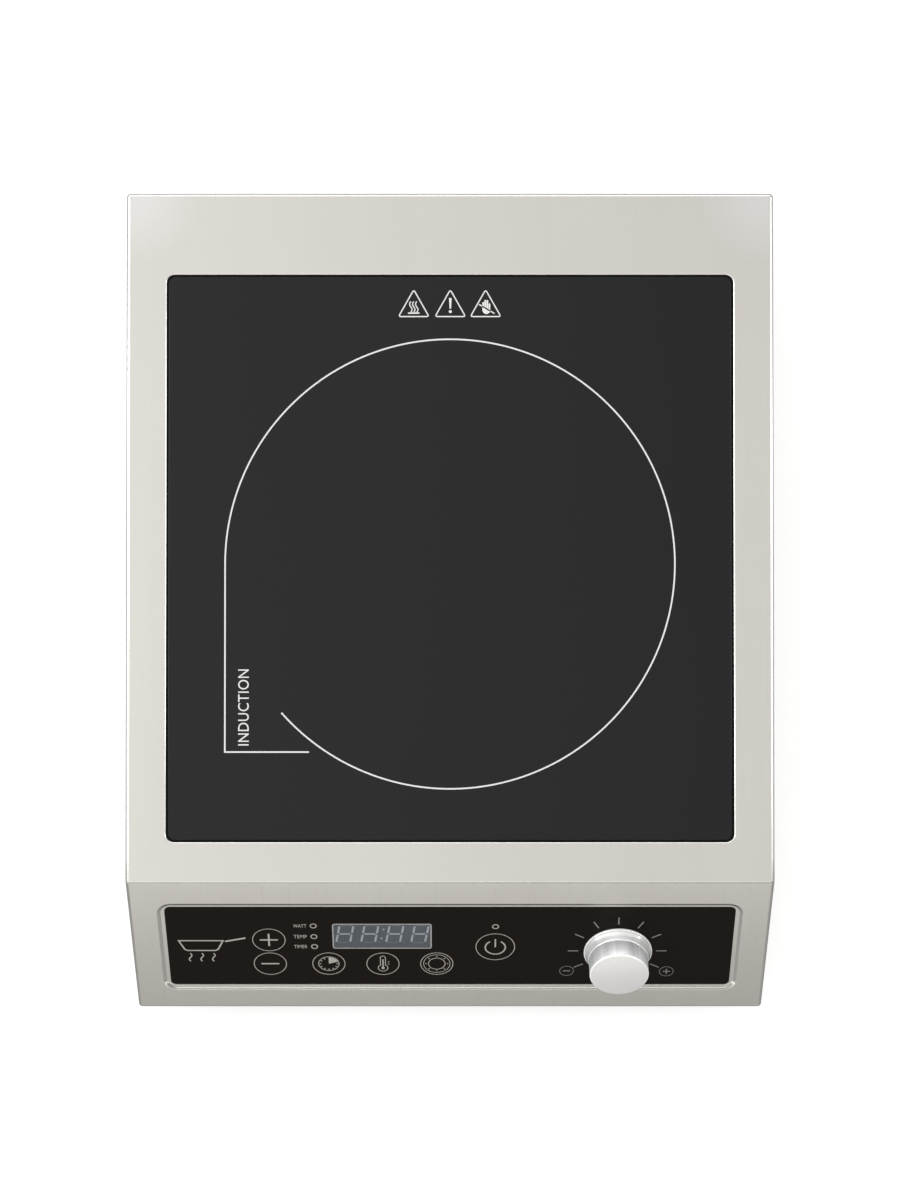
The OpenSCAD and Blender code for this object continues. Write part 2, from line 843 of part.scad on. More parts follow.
module control_studs() {
    color("silver")
        for (sx = [-1, 1], sy = [-1, 1]) {
            on_slope(window_x + sx * (stud_x + 0.5), window_down + sy * stud_down, tray_back - 4) {
                cylinder(d = small_screw_d, h = tray_depth + 4);
                translate([0, 0, 1.6])
                    hex_nut(5.5, small_screw_d + slip_fit, 2.4);
            }
            on_slope(window_x + sx * (panel_board_w / 2 - 5),
                window_down + sy * (panel_board_l / 2 - 5), panel_board_z)
                rotate([180, 0, 0])
                    screw(small_screw_d, 5, 5, 1.6);
        }
}

// The ribbon cable's route as [y, z], from the control board to the power board
ribbon_x = 18.5;
ribbon_steps = [[-25.4, -47.9], [-22, -52], [-14, -58], [0, -63], [16, -67], [28, -70], [36, -71]];
ribbon_route = [for (p = ribbon_steps) [y_crease + p[0], z_top + p[1]]];

module ribbon_cable() {
    top_edge = [for (p = ribbon_route) p + [0, 0.5]];
    low_edge = [for (i = [len(ribbon_route) - 1 : -1 : 0]) ribbon_route[i] - [0, 0.5]];
    color("lightsteelblue")
        translate([ribbon_x - 6, 0, 0])
            rotate([90, 0, 90])
                linear_extrude(12)
                    polygon(concat(top_edge, low_edge));
}

module power_board() {
    color("darkgreen")
        on_board(0, 0, -board_t)
            difference() {
                cube([board_w, board_l, board_t]);
                for (hole = board_holes)
                    translate([hole[0], hole[1], -cut])
                        cylinder(d = small_screw_d + 2 * slip_fit, h = board_t + 2 * cut);
            }
}

module board_spacers() {
    color("gold")
        for (hole = board_holes)
            on_board(hole[0], hole[1], -board_t - spacer_h)
                difference() {
                    cylinder(d = 7, h = spacer_h, $fn = 6);
                    translate([0, 0, spacer_h - 7])
                        cylinder(d = small_screw_d + slip_fit, h = 8);
                }
}

module board_screws() {
    color("silver")
        for (hole = board_holes)
            on_board(hole[0], hole[1])
                rotate([180, 0, 0])
                    screw(small_screw_d, board_t + 6, 5.5, 2);
}

// Screw places on the heat sink, as [x, y] from its front left corner
sink_holes = [for (x = [sink_w * 0.25, sink_w * 0.75], y = [24, sink_l - 24]) [x, y]];
fin_gap = (sink_w - fin_t) / (fins - 1);

module heat_sink() {
    color("lightgray")
        on_board(sink_x, sink_y)
            difference() {
                union() {
                    for (x = [0, sink_w - slab_t])
                        translate([x, 0, 0])
                            cube([slab_t, sink_l, sink_gap + slab_t]);
                    translate([0, 0, sink_gap])
                        cube([sink_w, sink_l, slab_t]);
                    for (i = [0 : fins - 1])
                        translate([i * fin_gap, 0, sink_gap])
                            cube([fin_t, sink_l, sink_h - sink_gap]);
                }
                for (hole = sink_holes)
                    translate([hole[0], hole[1], sink_gap - cut]) {
                        cylinder(d = small_screw_d + 2 * slip_fit, h = slab_t + 2 * cut);
                        translate([0, 0, slab_t + cut])
                            cylinder(d = 7, h = sink_h);
                    }
            }
}

module power_transistors() {
    color([0.1, 0.1, 0.1])
        for (x = [sink_w * 0.25, sink_w * 0.75])
            on_board(sink_x + x, sink_y + 24)
                difference() {
                    union() {
                        translate([0, 0, sink_gap - 5])
                            box(16, 21, 5);
                        for (lead = [-5, 0, 5])
                            translate([lead, -12, 0]) {
                                box(1.2, 4, sink_gap - 3);
                            }
                    }
                    translate([0, 0, -cut])
                        cylinder(d = small_screw_d + 2 * slip_fit, h = sink_gap + 2 * cut);
                }
}

module bridge_rectifier() {
    color([0.13, 0.13, 0.13])
        on_board(sink_x + sink_w / 2, sink_y + sink_l - 24)
            difference() {
                union() {
                    translate([0, 0, sink_gap - 4.6])
                        box(50, 20, 4.6);
                    for (lead = [-15, -5, 5, 15])
                        translate([lead, 11.5, 0])
                            box(1.2, 4, sink_gap - 3);
                }
                for (side = [-1, 1])
                    translate([side * sink_w / 4, 0, -cut])
                        cylinder(d = small_screw_d + 2 * slip_fit, h = sink_gap + 2 * cut);
            }
}

module heat_sink_screws() {
    color("silver")
        for (hole = sink_holes)
            on_board(sink_x + hole[0], sink_y + hole[1], sink_gap + slab_t)
                rotate([180, 0, 0])
                    screw(small_screw_d, slab_t + 5, 5.5, 2);
}

choke_place = [132, 50];
choke_r = [12, 21];
choke_h = [3, 19];
winding_t = 2;

module choke_core() {
    color([0.25, 0.25, 0.28])
        on_board(choke_place[0], choke_place[1])
            rotate_extrude()
                translate([choke_r[0], choke_h[0]])
                    square([choke_r[1] - choke_r[0], choke_h[1] - choke_h[0]]);
}

module choke_winding() {
    in_r = choke_r[0] - 0.1;
    out_r = choke_r[1] + 0.1;
    low = choke_h[0] - 0.1;
    high = choke_h[1] + 0.1;
    color("peru")
        on_board(choke_place[0], choke_place[1])
            for (start = [15, 195])
                rotate([0, 0, start])
                    rotate_extrude(angle = 150)
                        difference() {
                            translate([in_r - winding_t, low - winding_t])
                                square([out_r - in_r + 2 * winding_t, high - low + 2 * winding_t]);
                            translate([in_r, low])
                                square([out_r - in_r, high - low]);
                        }
}

// Each film capacitor, as [x, y, width, length, height] on the board
film_blocks = [[110, 96, 42, 20, 32], [110, 124, 42, 16, 28], [110, 148, 32, 13, 24]];

module film_capacitors() {
    color("steelblue")
        for (block = film_blocks)
            on_board(block[0] + block[2] / 2, block[1] + block[3] / 2)
                plate(block[2], block[3], block[4], 1.5);
}

module filter_capacitors() {
    color([0.15, 0.2, 0.45])
        for (can = [[40, 20, 16, 26], [62, 20, 10, 16], [78, 22, 10, 16], [20, 24, 8, 12]])
            on_board(can[0], can[1])
                rotate_extrude()
                    polygon([[0, 0], [can[2] / 2, 0], [can[2] / 2, 2],
                        [can[2] / 2 - 0.6, 2.8], [can[2] / 2, 3.6],
                        [can[2] / 2, can[3] - 0.6], [can[2] / 2 - 0.6, can[3]], [0, can[3]]]);
}

module transformer() {
    color("khaki")
        on_board(150, 180) {
            box(16, 25, 20);
            translate([0, 0, 3])
                box(26, 18, 14);
        }
}

module fuse() {
    color("ivory")
        on_board(128, 190) {
            for (end = [-13, 13])
                translate([0, end, 0])
                    box(7, 2, 6);
            translate([0, 16, 6])
                rotate([90, 0, 0])
                    cylinder(d = 6.3, h = 32);
        }
}

module terminal_block() {
    color("ivory")
        translate([bush_x, y_rear - 70, z_base])
            difference() {
                box(48, 22, 18);
                for (x = [-15, 0, 15]) {
                    translate([x, 0, 4])
                        box(6, 30, 6);
                    translate([x, 0, 14])
                        box(6, 6, 10);
                }
            }
}

module coil_carrier() {
    color("whitesmoke")
        translate([0, y_coil, z_carrier])
            difference() {
                union() {
                    cylinder(d = carrier_d, h = carrier_plate_t, $fn = 72);
                    for (i = [0 : ferrites - 1], side = [-1, 1])
                        rotate([0, 0, (i + 0.5) * 360 / ferrites])
                            translate([coil_hole / 2, side * (ferrite_w / 2 + 1.2) - 0.8, -4])
                                cube([ferrite_l, 1.6, 4 + tiny]);
                }
                translate([0, 0, -cut])
                    cylinder(d = sensor_d + 2 * slip_fit, h = carrier_plate_t + 2 * cut);
            }
}

module litz_coil() {
    pitch = (coil_d - coil_hole) / 2 / coil_turns;
    groove = 0.8;
    one_turn = [[0, litz_d - groove], [pitch * 0.3, litz_d], [pitch * 0.7, litz_d]];
    top_line = [for (i = [0 : coil_turns - 1]) for (p = one_turn) [coil_hole / 2 + i * pitch + p[0], p[1]]];
    color("peru")
        translate([0, y_coil, z_coil])
            rotate_extrude($fn = 72)
                polygon(concat([[coil_hole / 2, 0]], top_line,
                    [[coil_d / 2, litz_d - groove], [coil_d / 2, 0]]));
}

module ferrite_bars() {
    color([0.22, 0.22, 0.24])
        for (i = [0 : ferrites - 1])
            translate([0, y_coil, z_carrier - ferrite_h])
                rotate([0, 0, (i + 0.5) * 360 / ferrites])
                    translate([coil_hole / 2, -ferrite_w / 2, 0])
                        cube([ferrite_l, ferrite_w, ferrite_h]);
}

module insulation_sheet() {
    color("wheat")
        translate([0, y_coil, z_glass - sheet_ins_t])
            difference() {
                cylinder(d = coil_d + 20, h = sheet_ins_t, $fn = 72);
                translate([0, 0, -cut])
                    cylinder(d = sensor_d + 2, h = sheet_ins_t + 2 * cut);
            }
}

module coil_sensor() {
    color([0.85, 0.85, 0.85])
        translate([0, y_coil, z_carrier - 4]) {
            cylinder(d = sensor_rim_d, h = 4);
            cylinder(d = sensor_d, h = z_glass - z_carrier + 4);
        }
}

module coil_springs() {
    color("silver")
        for (i = [0 : springs - 1])
            translate([0, y_coil, z_support])
                rotate([0, 0, i * 360 / springs])
                    translate([spring_ring_d / 2, 0, 0])
                        wire_spring(spring_d, spring_wire, spring_h, spring_turns, 12, 6);
}

module coil_support() {
    plate_z = z_support - support_t;
    color("lightgray")
        difference() {
            union() {
                translate([0, y_coil, plate_z])
                    box(2 * support_x, coil_d, support_t);
                for (side = [-1, 1]) {
                    translate([side * (support_x - support_t / 2), y_coil, z_flange])
                        box(support_t, support_l, z_support - z_flange);
                    translate([side * (support_x + support_foot_l / 2 - support_t), y_coil, z_flange])
                        box(support_foot_l, support_l, support_t);
                }
            }
            translate([0, y_coil, plate_z - cut])
                box(120, 120, support_t + 2 * cut);
        }
}

module coil_leads() {
    color("peru")
        for (x = lead_x) {
            edge = y_coil - sqrt(pow(carrier_d / 2 + 3, 2) - x * x);
            base_y = y_crease + board_front;
            route = [[edge, z_coil + 2.4], [edge - 8, z_coil + 1], [edge - 18, z_coil - 5],
                [base_y + 12, z_coil - 20], [base_y + 9, z_parts + 22], [base_y + 9, z_parts + 2]];
            wire_route(x, route, 4, 8);
            translate([x, base_y + 9, z_parts])
                box(9, 9, 2);
        }
}

// A square fan frame around a round duct, with the motor's seat held by three struts.
module fan_frame(y) {
    color([0.12, 0.12, 0.12])
        translate([-fan_x, y, z_base])
            difference() {
                union() {
                    difference() {
                        plate(fan_w, fan_w, fan_t, 4);
                        translate([0, 0, -cut])
                            cylinder(d = fan_bore_d, h = fan_t + 2 * cut, $fn = 72);
                    }
                    translate([0, 0, fan_t - 2])
                        cylinder(d = hub_d - 2, h = 2);
                    for (i = [0 : 2])
                        rotate([0, 0, i * 120 + 30])
                            translate([hub_d / 2 - 2, -2, fan_t - 2])
                                cube([(fan_bore_d - hub_d) / 2 + 3, 4, 2]);
                }
                for (sx = [-1, 1], sy = [-1, 1])
                    translate([sx * fan_holes / 2, sy * fan_holes / 2, -cut])
                        cylinder(d = hole_d, h = fan_t + 2 * cut);
            }
}

module fan_stators() {
    color("peru")
        for (y = fan_rows)
            translate([-fan_x, y, z_base + 5])
                difference() {
                    union() {
                        cylinder(d = 8, h = fan_t - 7);
                        translate([0, 0, 4])
                            cylinder(d = stator_d, h = fan_t - 15);
                    }
                    translate([0, 0, -cut])
                        cylinder(d = fan_shaft_d + 2 * run_fit, h = fan_t - 9 + cut);
                }
}

// A hub cup with its shaft and pitched blades.
module fan_rotor(y) {
    blade_l = fan_bore_d / 2 - fan_tip_gap - hub_d / 2 + 1;
    color([0.12, 0.12, 0.12])
        translate([-fan_x, y, z_base + 2]) {
            difference() {
                cylinder(d = hub_d, h = fan_t - 7);
                translate([0, 0, hub_wall_t])
                    cylinder(d = hub_d - 2 * hub_wall_t, h = fan_t);
            }
            cylinder(d = fan_shaft_d, h = fan_t - 9);
            for (i = [0 : blades - 1])
                rotate([0, 0, i * 360 / blades])
                    translate([hub_d / 2 - 0.6, 0, (fan_t - 7) / 2])
                        rotate([38, 0, 0])
                            translate([0, -11, -0.8])
                                cube([blade_l, 22, 1.6]);
        }
}

module fan_screws() {
    color("silver")
        for (y = fan_rows, sx = [-1, 1], sy = [-1, 1])
            translate([-fan_x + sx * fan_holes / 2, y + sy * fan_holes / 2, foot_h])
                screw(screw_d, fan_screw_l, screw_head_d, screw_head_h);
}

upper_casing();
rear_panel();
base_plate();
glass_plate();
glass_seal();
foot(foot_holes[0]);  // foot_front_left
foot(foot_holes[2]);  // foot_front_right
foot(foot_holes[1]);  // foot_rear_left
foot(foot_holes[3]);  // foot_rear_right
foot_screws();
casing_screws();
control_overlay();
cable_bush();
cable_bush_nut();
earth_stud();
knob_body();
knob_skirt();
knob_cap();
knob_core();
control_shaft();
control_pot();
pot_bushing();
pot_nut();
touch_carrier();
display_module();
indicator_lamps();
touch_springs();
control_board();
buzzer();
control_bracket();
control_studs();
ribbon_cable();
power_board();
board_spacers();
board_screws();
heat_sink();
power_transistors();
bridge_rectifier();
heat_sink_screws();
choke_core();
choke_winding();
film_capacitors();
filter_capacitors();
transformer();
fuse();
terminal_block();
coil_carrier();
litz_coil();
ferrite_bars();
insulation_sheet();
coil_sensor();
coil_springs();
coil_support();
coil_leads();
fan_frame(fan_rows[0]);  // fan_frame_front
fan_frame(fan_rows[1]);  // fan_frame_rear
fan_stators();
fan_rotor(fan_rows[0]);  // fan_rotor_front
fan_rotor(fan_rows[1]);  // fan_rotor_rear
fan_screws();
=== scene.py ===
import json
import math
import bmesh
import bpy
from mathutils import Matrix, Vector


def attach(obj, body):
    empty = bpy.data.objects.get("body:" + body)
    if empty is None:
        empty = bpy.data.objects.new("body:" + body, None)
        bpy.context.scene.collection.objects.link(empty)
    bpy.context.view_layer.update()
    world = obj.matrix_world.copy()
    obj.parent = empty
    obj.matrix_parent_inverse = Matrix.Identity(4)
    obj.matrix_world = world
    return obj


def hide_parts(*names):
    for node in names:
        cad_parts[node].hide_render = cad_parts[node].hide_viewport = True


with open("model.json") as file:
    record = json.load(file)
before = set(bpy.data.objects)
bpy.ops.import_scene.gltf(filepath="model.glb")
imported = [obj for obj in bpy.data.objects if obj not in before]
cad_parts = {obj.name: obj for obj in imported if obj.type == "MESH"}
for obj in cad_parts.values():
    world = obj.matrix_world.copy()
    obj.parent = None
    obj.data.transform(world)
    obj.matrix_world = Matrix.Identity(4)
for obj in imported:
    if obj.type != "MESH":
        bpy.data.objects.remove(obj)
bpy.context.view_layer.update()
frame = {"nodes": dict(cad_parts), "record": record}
print("frame loaded:", len(frame["nodes"]), "nodes")

cameraSet = {"place": (0, -0.0295, 1.5095), "tilt": 1.17, "lens": 83.9, "clip": (0.05, 60)}  # metres, degrees, mm
cameraData = bpy.data.cameras.new("studioCamera")
cameraData.lens = cameraSet["lens"]
cameraData.clip_start, cameraData.clip_end = cameraSet["clip"]
camera = bpy.data.objects.new("studioCamera", cameraData)
camera.location = cameraSet["place"]
camera.rotation_euler = (math.radians(cameraSet["tilt"]), 0, 0)
bpy.context.scene.collection.objects.link(camera)
bpy.context.scene.camera = camera

studio = {"skyColour": (1, 0.995, 0.985),
          "sky": [  # axis, where its change starts and ends, strength before and after it
              ("Z", (-0.05, 0.8), (0.78, 0.97)),
              ("X", (-0.2, 0.28), (1.14, 0.72)),
              ("Y", (-0.85, -0.1), (0.6, 1))],
          "floorGlow": 0.62, "floorColour": (0.48, 0.48, 0.48), "floorReach": 14, "aim": (0, 0, 0.08),
          "lights": [  # place, size, watts, colour
              ((-1.9, 0.15, 1.5), (0.6, 2.2), 17, (1, 0.99, 0.97)),
              ((1.9, 0.15, 1.5), (0.6, 2.2), 13, (1, 0.98, 0.96)),
              ((0, 2.1, 1.2), (2.4, 0.5), 12, (1, 0.99, 0.98)),
              ((0, -1.5, 2.5), (2.4, 0.5), 5, (1, 0.98, 0.96)),
              ((-0.1, -1.25, 0.29), (1.8, 0.12), 1.5, (1, 0.985, 0.93))]}


def areaLight(name, place, size, watts, colour):
    data = bpy.data.lights.new(name, "AREA")
    data.shape, data.size, data.size_y = "RECTANGLE", size[0], size[1]
    data.energy, data.color = watts, colour
    lamp = bpy.data.objects.new(name, data)
    lamp.location = place
    lamp.rotation_euler = (Vector(studio["aim"]) - Vector(place)).to_track_quat("-Z", "Y").to_euler()
    bpy.context.scene.collection.objects.link(lamp)


def nodeIn(tree, kind, **values):  # a new shader node, with its own settings
    node = tree.nodes.new("ShaderNode" + kind)
    for label, value in values.items():
        setattr(node, label, value)
    return node


def mapRange(tree, source, fromLow=0, fromHigh=1, low=0, high=1):  # maps a value onto a range
    ramp = nodeIn(tree, "MapRange")
    for label, value in (("From Min", fromLow), ("From Max", fromHigh), ("To Min", low), ("To Max", high)):
        ramp.inputs[label].default_value = value
    tree.links.new(source, ramp.inputs["Value"])
    return ramp


def softSky(s):  # a plain sky whose strength changes along each axis
    world = bpy.data.worlds.new("softSky")
    bpy.context.scene.world = world
    world.use_nodes = True
    tree = world.node_tree
    sky = tree.nodes["Background"]
    sky.inputs["Color"].default_value = (*s["skyColour"], 1)
    split = nodeIn(tree, "SeparateXYZ")
    tree.links.new(nodeIn(tree, "TexCoord").outputs["Generated"], split.inputs[0])
    strength = None
    for axis, reach, levels in s["sky"]:
        ramp = mapRange(tree, split.outputs[axis], *reach, *levels)
        ramp.interpolation_type = "SMOOTHSTEP"
        if strength:
            both = nodeIn(tree, "Math", operation="MULTIPLY")
            tree.links.new(strength, both.inputs[0])
            tree.links.new(ramp.outputs[0], both.inputs[1])
            strength = both.outputs[0]
        else:
            strength = ramp.outputs[0]
    tree.links.new(strength, sky.inputs["Strength"])


for index, (place, size, watts, colour) in enumerate(studio["lights"]):
    areaLight("softbox" + str(index + 1), place, size, watts, colour)
softSky(studio)
bpy.context.scene.view_settings.view_transform = "Standard"
bpy.context.scene.view_settings.look = "None"
print("camera and studio set")

# everything is drawn in millimetres, then placed
slopeAngle = math.radians(42.436)
slopeNormal = (0, -math.sin(slopeAngle), math.cos(slopeAngle))
toMetres = Matrix.Scale(0.001, 4)
crease = Matrix.Translation((0, -0.143, 0.1))  # where the top meets the slope
onTop = crease @ toMetres  # x, distance behind the crease, height over the top
onSlope = crease @ Matrix.Rotation(slopeAngle, 4, "X") @ toMetres  # x, minus distance down, height out
knobPlace = onSlope @ Matrix.Translation((86.5, -52, 0))


def newGroup(name, inputs, outputs):  # an empty effect that materials share; its outputs are plain values
    group = bpy.data.node_groups.new(name, "ShaderNodeTree")
    for label, value in inputs.items():
        kind = "NodeSocketVector" if isinstance(value, tuple) else "NodeSocketFloat"
        group.interface.new_socket(label, in_out="INPUT", socket_type=kind).default_value = value
    for label in outputs:
        group.interface.new_socket(label, in_out="OUTPUT", socket_type="NodeSocketFloat")
    return group, group.nodes.new("NodeGroupInput"), group.nodes.new("NodeGroupOutput")


def wire(group, *links):  # each link is a node, its output, the next node and its input
    for source, output, target, socket in links:
        group.links.new(source.outputs[output], target.inputs[socket])


def noiseIn(group, detail, scale=1, roughness=0.5):
    node = nodeIn(group, "TexNoise")
    for label, value in (("Detail", detail), ("Scale", scale), ("Roughness", roughness)):
        node.inputs[label].default_value = value
    return node


def brushedGrainGroup():  # long fine lines that run one way, and broad soft bands along them
    group, given, made = newGroup("brushedGrain", {"Fine": (9000, 60, 9000), "Broad": (90, 5, 90)}, ["Lines", "Bands"])
    place = nodeIn(group, "TexCoord")
    for label, output, detail in (("Fine", "Lines", 2), ("Broad", "Bands", 3)):
        scaled = nodeIn(group, "VectorMath", operation="MULTIPLY")
        noise = noiseIn(group, detail)
        wire(group, (place, "Object", scaled, 0), (given, label, scaled, 1),
             (scaled, 0, noise, "Vector"), (noise, "Fac", made, output))
    return group


def mottleGroup():  # soft uneven patches, from Low to High
    group, given, made = newGroup("softMottle", {"Scale": 30, "Low": 0, "High": 1}, ["Value"])
    place = nodeIn(group, "TexCoord")
    noise = noiseIn(group, 4, roughness=0.55)
    ramp = mapRange(group, noise.outputs["Fac"], 0.3, 0.7)
    wire(group, (place, "Object", noise, "Vector"), (given, "Scale", noise, "Scale"),
         (given, "Low", ramp, "To Min"), (given, "High", ramp, "To Max"), (ramp, 0, made, "Value"))
    return group


def edgeRubGroup():  # 1 along worn outer edges, broken up a little
    group, given, made = newGroup("edgeRub", {"Width": 0.0006, "Amount": 1}, ["Mask"])
    rounded = nodeIn(group, "Bevel", samples=4)
    shape = nodeIn(group, "NewGeometry")
    place = nodeIn(group, "TexCoord")
    dot = nodeIn(group, "VectorMath", operation="DOT_PRODUCT")
    bent = mapRange(group, dot.outputs["Value"], 0.995, 0.9)
    noise = noiseIn(group, 3, 260)
    broken, strong = [nodeIn(group, "Math", operation="MULTIPLY") for step in range(2)]
    wire(group, (given, "Width", rounded, "Radius"), (rounded, "Normal", dot, 0), (shape, "Normal", dot, 1),
         (place, "Object", noise, "Vector"), (bent, 0, broken, 0), (noise, "Fac", broken, 1),
         (broken, 0, strong, 0), (given, "Amount", strong, 1), (strong, 0, made, "Mask"))
    return group


def foldMaskGroup():  # 1 where the surface turns away from an axis, and from the box's own directions if Boxed
    group, given, made = newGroup("foldMask", {"Axis": slopeNormal, "Boxed": 1}, ["Mask"])
    place = nodeIn(group, "TexCoord")
    plain = nodeIn(group, "VectorMath", operation="ABSOLUTE")
    split = nodeIn(group, "SeparateXYZ")
    wide, most, flat = [nodeIn(group, "Math", operation="MAXIMUM") for step in range(3)]
    boxed = nodeIn(group, "Math", operation="MULTIPLY")
    along = nodeIn(group, "VectorMath", operation="DOT_PRODUCT")
    bent = mapRange(group, flat.outputs[0], 0.995, 0.96)
    wire(group, (place, "Normal", plain, 0), (plain, 0, split, 0), (split, "X", wide, 0), (split, "Y", wide, 1),
         (wide, 0, most, 0), (split, "Z", most, 1), (most, 0, boxed, 0), (given, "Boxed", boxed, 1),
         (place, "Normal", along, 0), (given, "Axis", along, 1), (boxed, 0, flat, 0), (along, "Value", flat, 1),
         (bent, 0, made, "Mask"))
    return group


def fineGrainGroup():  # moulded or sprayed surface grain as a height
    group, given, made = newGroup("fineGrain", {"Scale": 2500}, ["Height"])
    place = nodeIn(group, "TexCoord")
    cells, noise = nodeIn(group, "TexVoronoi"), noiseIn(group, 2)
    for texture in (cells, noise):
        wire(group, (place, "Object", texture, "Vector"), (given, "Scale", texture, "Scale"))
    both = nodeIn(group, "Math", operation="ADD")
    wire(group, (cells, "Distance", both, 0), (noise, "Fac", both, 1), (both, 0, made, "Height"))
    return group


def turnedRingsGroup():  # fine circles round an axis, as a lathe leaves them, and soft rays across them
    group, given, made = newGroup("turnedRings", {"Centre": (0, 0, 0), "Tilt": (0, 0, 0), "Rings": 9000},
                                  ["Lines", "Rays"])
    place = nodeIn(group, "TexCoord")
    moved = nodeIn(group, "VectorMath", operation="SUBTRACT")
    turned = nodeIn(group, "VectorRotate", rotation_type="EULER_XYZ", invert=True)
    split, flat = nodeIn(group, "SeparateXYZ"), nodeIn(group, "CombineXYZ")
    length = nodeIn(group, "VectorMath", operation="LENGTH")
    count = nodeIn(group, "Math", operation="MULTIPLY")
    unit = nodeIn(group, "VectorMath", operation="NORMALIZE")
    rings, rays = noiseIn(group, 2), noiseIn(group, 2, 3.5)
    rings.noise_dimensions = "1D"
    wire(group, (place, "Object", moved, 0), (given, "Centre", moved, 1), (moved, 0, turned, "Vector"),
         (given, "Tilt", turned, "Rotation"), (turned, 0, split, 0), (split, "X", flat, "X"), (split, "Y", flat, "Y"),
         (flat, 0, length, 0), (length, "Value", count, 0), (given, "Rings", count, 1), (count, 0, rings, "W"),
         (flat, 0, unit, 0), (unit, 0, rays, "Vector"), (rings, "Fac", made, "Lines"), (rays, "Fac", made, "Rays"))
    return group


brushedGrain = brushedGrainGroup()
softMottle = mottleGroup()
edgeRub = edgeRubGroup()
foldMask = foldMaskGroup()
fineGrain = fineGrainGroup()
turnedRings = turnedRingsGroup()
print("shared effects made")

shaderSockets = {"ior": "IOR", "coat": "Coat Weight", "coatRoughness": "Coat Roughness",
                 "specular": "Specular IOR Level", "glowColour": "Emission Color"}


class Finish:  # a Principled material with a few short ways to wire it
    def __init__(self, name, colour, roughness, metallic=0, **more):
        self.material = bpy.data.materials.new(name)
        self.material.use_nodes = True
        self.material.diffuse_color = (*colour, 1)
        self.tree = self.material.node_tree
        self.shader = self.tree.nodes["Principled BSDF"]
        for label, value in (("Base Color", (*colour, 1)), ("Roughness", roughness), ("Metallic", metallic)):
            self.shader.inputs[label].default_value = value
        for label, value in more.items():
            self.shader.inputs[shaderSockets[label]].default_value = value

    def node(self, kind, **values):
        return nodeIn(self.tree, kind, **values)

    def group(self, tree, **values):
        node = self.node("Group", node_tree=tree)
        for label, value in values.items():
            node.inputs[label].default_value = value
        return node

    def pattern(self, kind, values):  # a texture on the piece's own coordinates
        node = self.node(kind)
        for label, value in values.items():
            node.inputs[label].default_value = value
        self.link(self.node("TexCoord").outputs["Object"], node.inputs["Vector"])
        return node

    def link(self, source, target):
        self.tree.links.new(source, target)

    def spread(self, source, low, high, target=None, fromLow=0, fromHigh=1):
        ramp = mapRange(self.tree, source, fromLow, fromHigh, low, high)
        if target:
            self.link(ramp.outputs[0], self.shader.inputs[target])
        return ramp.outputs[0]

    def mixColour(self, amount, first, second, target="Base Color"):
        mix = self.node("Mix", data_type="RGBA")
        self.link(amount, mix.inputs["Factor"])
        for socket, value in ((mix.inputs["A"], first), (mix.inputs["B"], second)):
            if isinstance(value, tuple):
                socket.default_value = (*value, 1)
            else:
                self.link(value, socket)
        if target:
            self.link(mix.outputs["Result"], self.shader.inputs[target])
        return mix.outputs["Result"]

    def bump(self, height, strength, distance=0.0001):
        bump = self.node("Bump")
        bump.inputs["Strength"].default_value = strength
        bump.inputs["Distance"].default_value = distance
        self.link(height, bump.inputs["Height"])
        self.link(bump.outputs["Normal"], self.shader.inputs["Normal"])


def shade(colour, factor, lift=0):  # a darker or lighter tone of a colour
    return tuple(min(1, c * factor + lift) for c in colour)


satinLook = {"light": (0.705, 0.69, 0.655), "dark": (0.645, 0.625, 0.585), "rough": (0.27, 0.34),
             "fine": (5200, 26, 26), "fineSide": (26, 26, 5200), "broad": (34, 2.2, 2.2), "broadSide": (2.2, 2.2, 34),
             "lines": 0.1, "lineDepth": 0.00004, "sideFrom": (0.5, 0.9),
             "bandShare": 0.55, "patchShare": (-0.05, 0.42), "patches": {"Scale": 7, "Low": 0.25, "High": 0.8},
             # low and the heights after it paint a darker shade towards the table
             "low": (0.56, 0.545, 0.515), "paintedShadeFrom": (0.1, 0.02),
             "weld": (0.75, 0.745, 0.73), "weldAt": (0.156, 0.2, 0.1), "weldReach": (0.03, 0.004),
             "weldShare": 0.85, "weldBehind": (0.1, 0.15),
             # the bend colours that follow are a painted highlight and, towards the front and underneath, painted shade
             "fold": (0.82, 0.815, 0.8), "foldRough": 0.2,
             "foldFront": (0.59, 0.58, 0.55), "frontFrom": (-0.13, -0.138),
             "foldUnder": (0.25, 0.247, 0.24), "underFrom": (0.72, 0.4)}


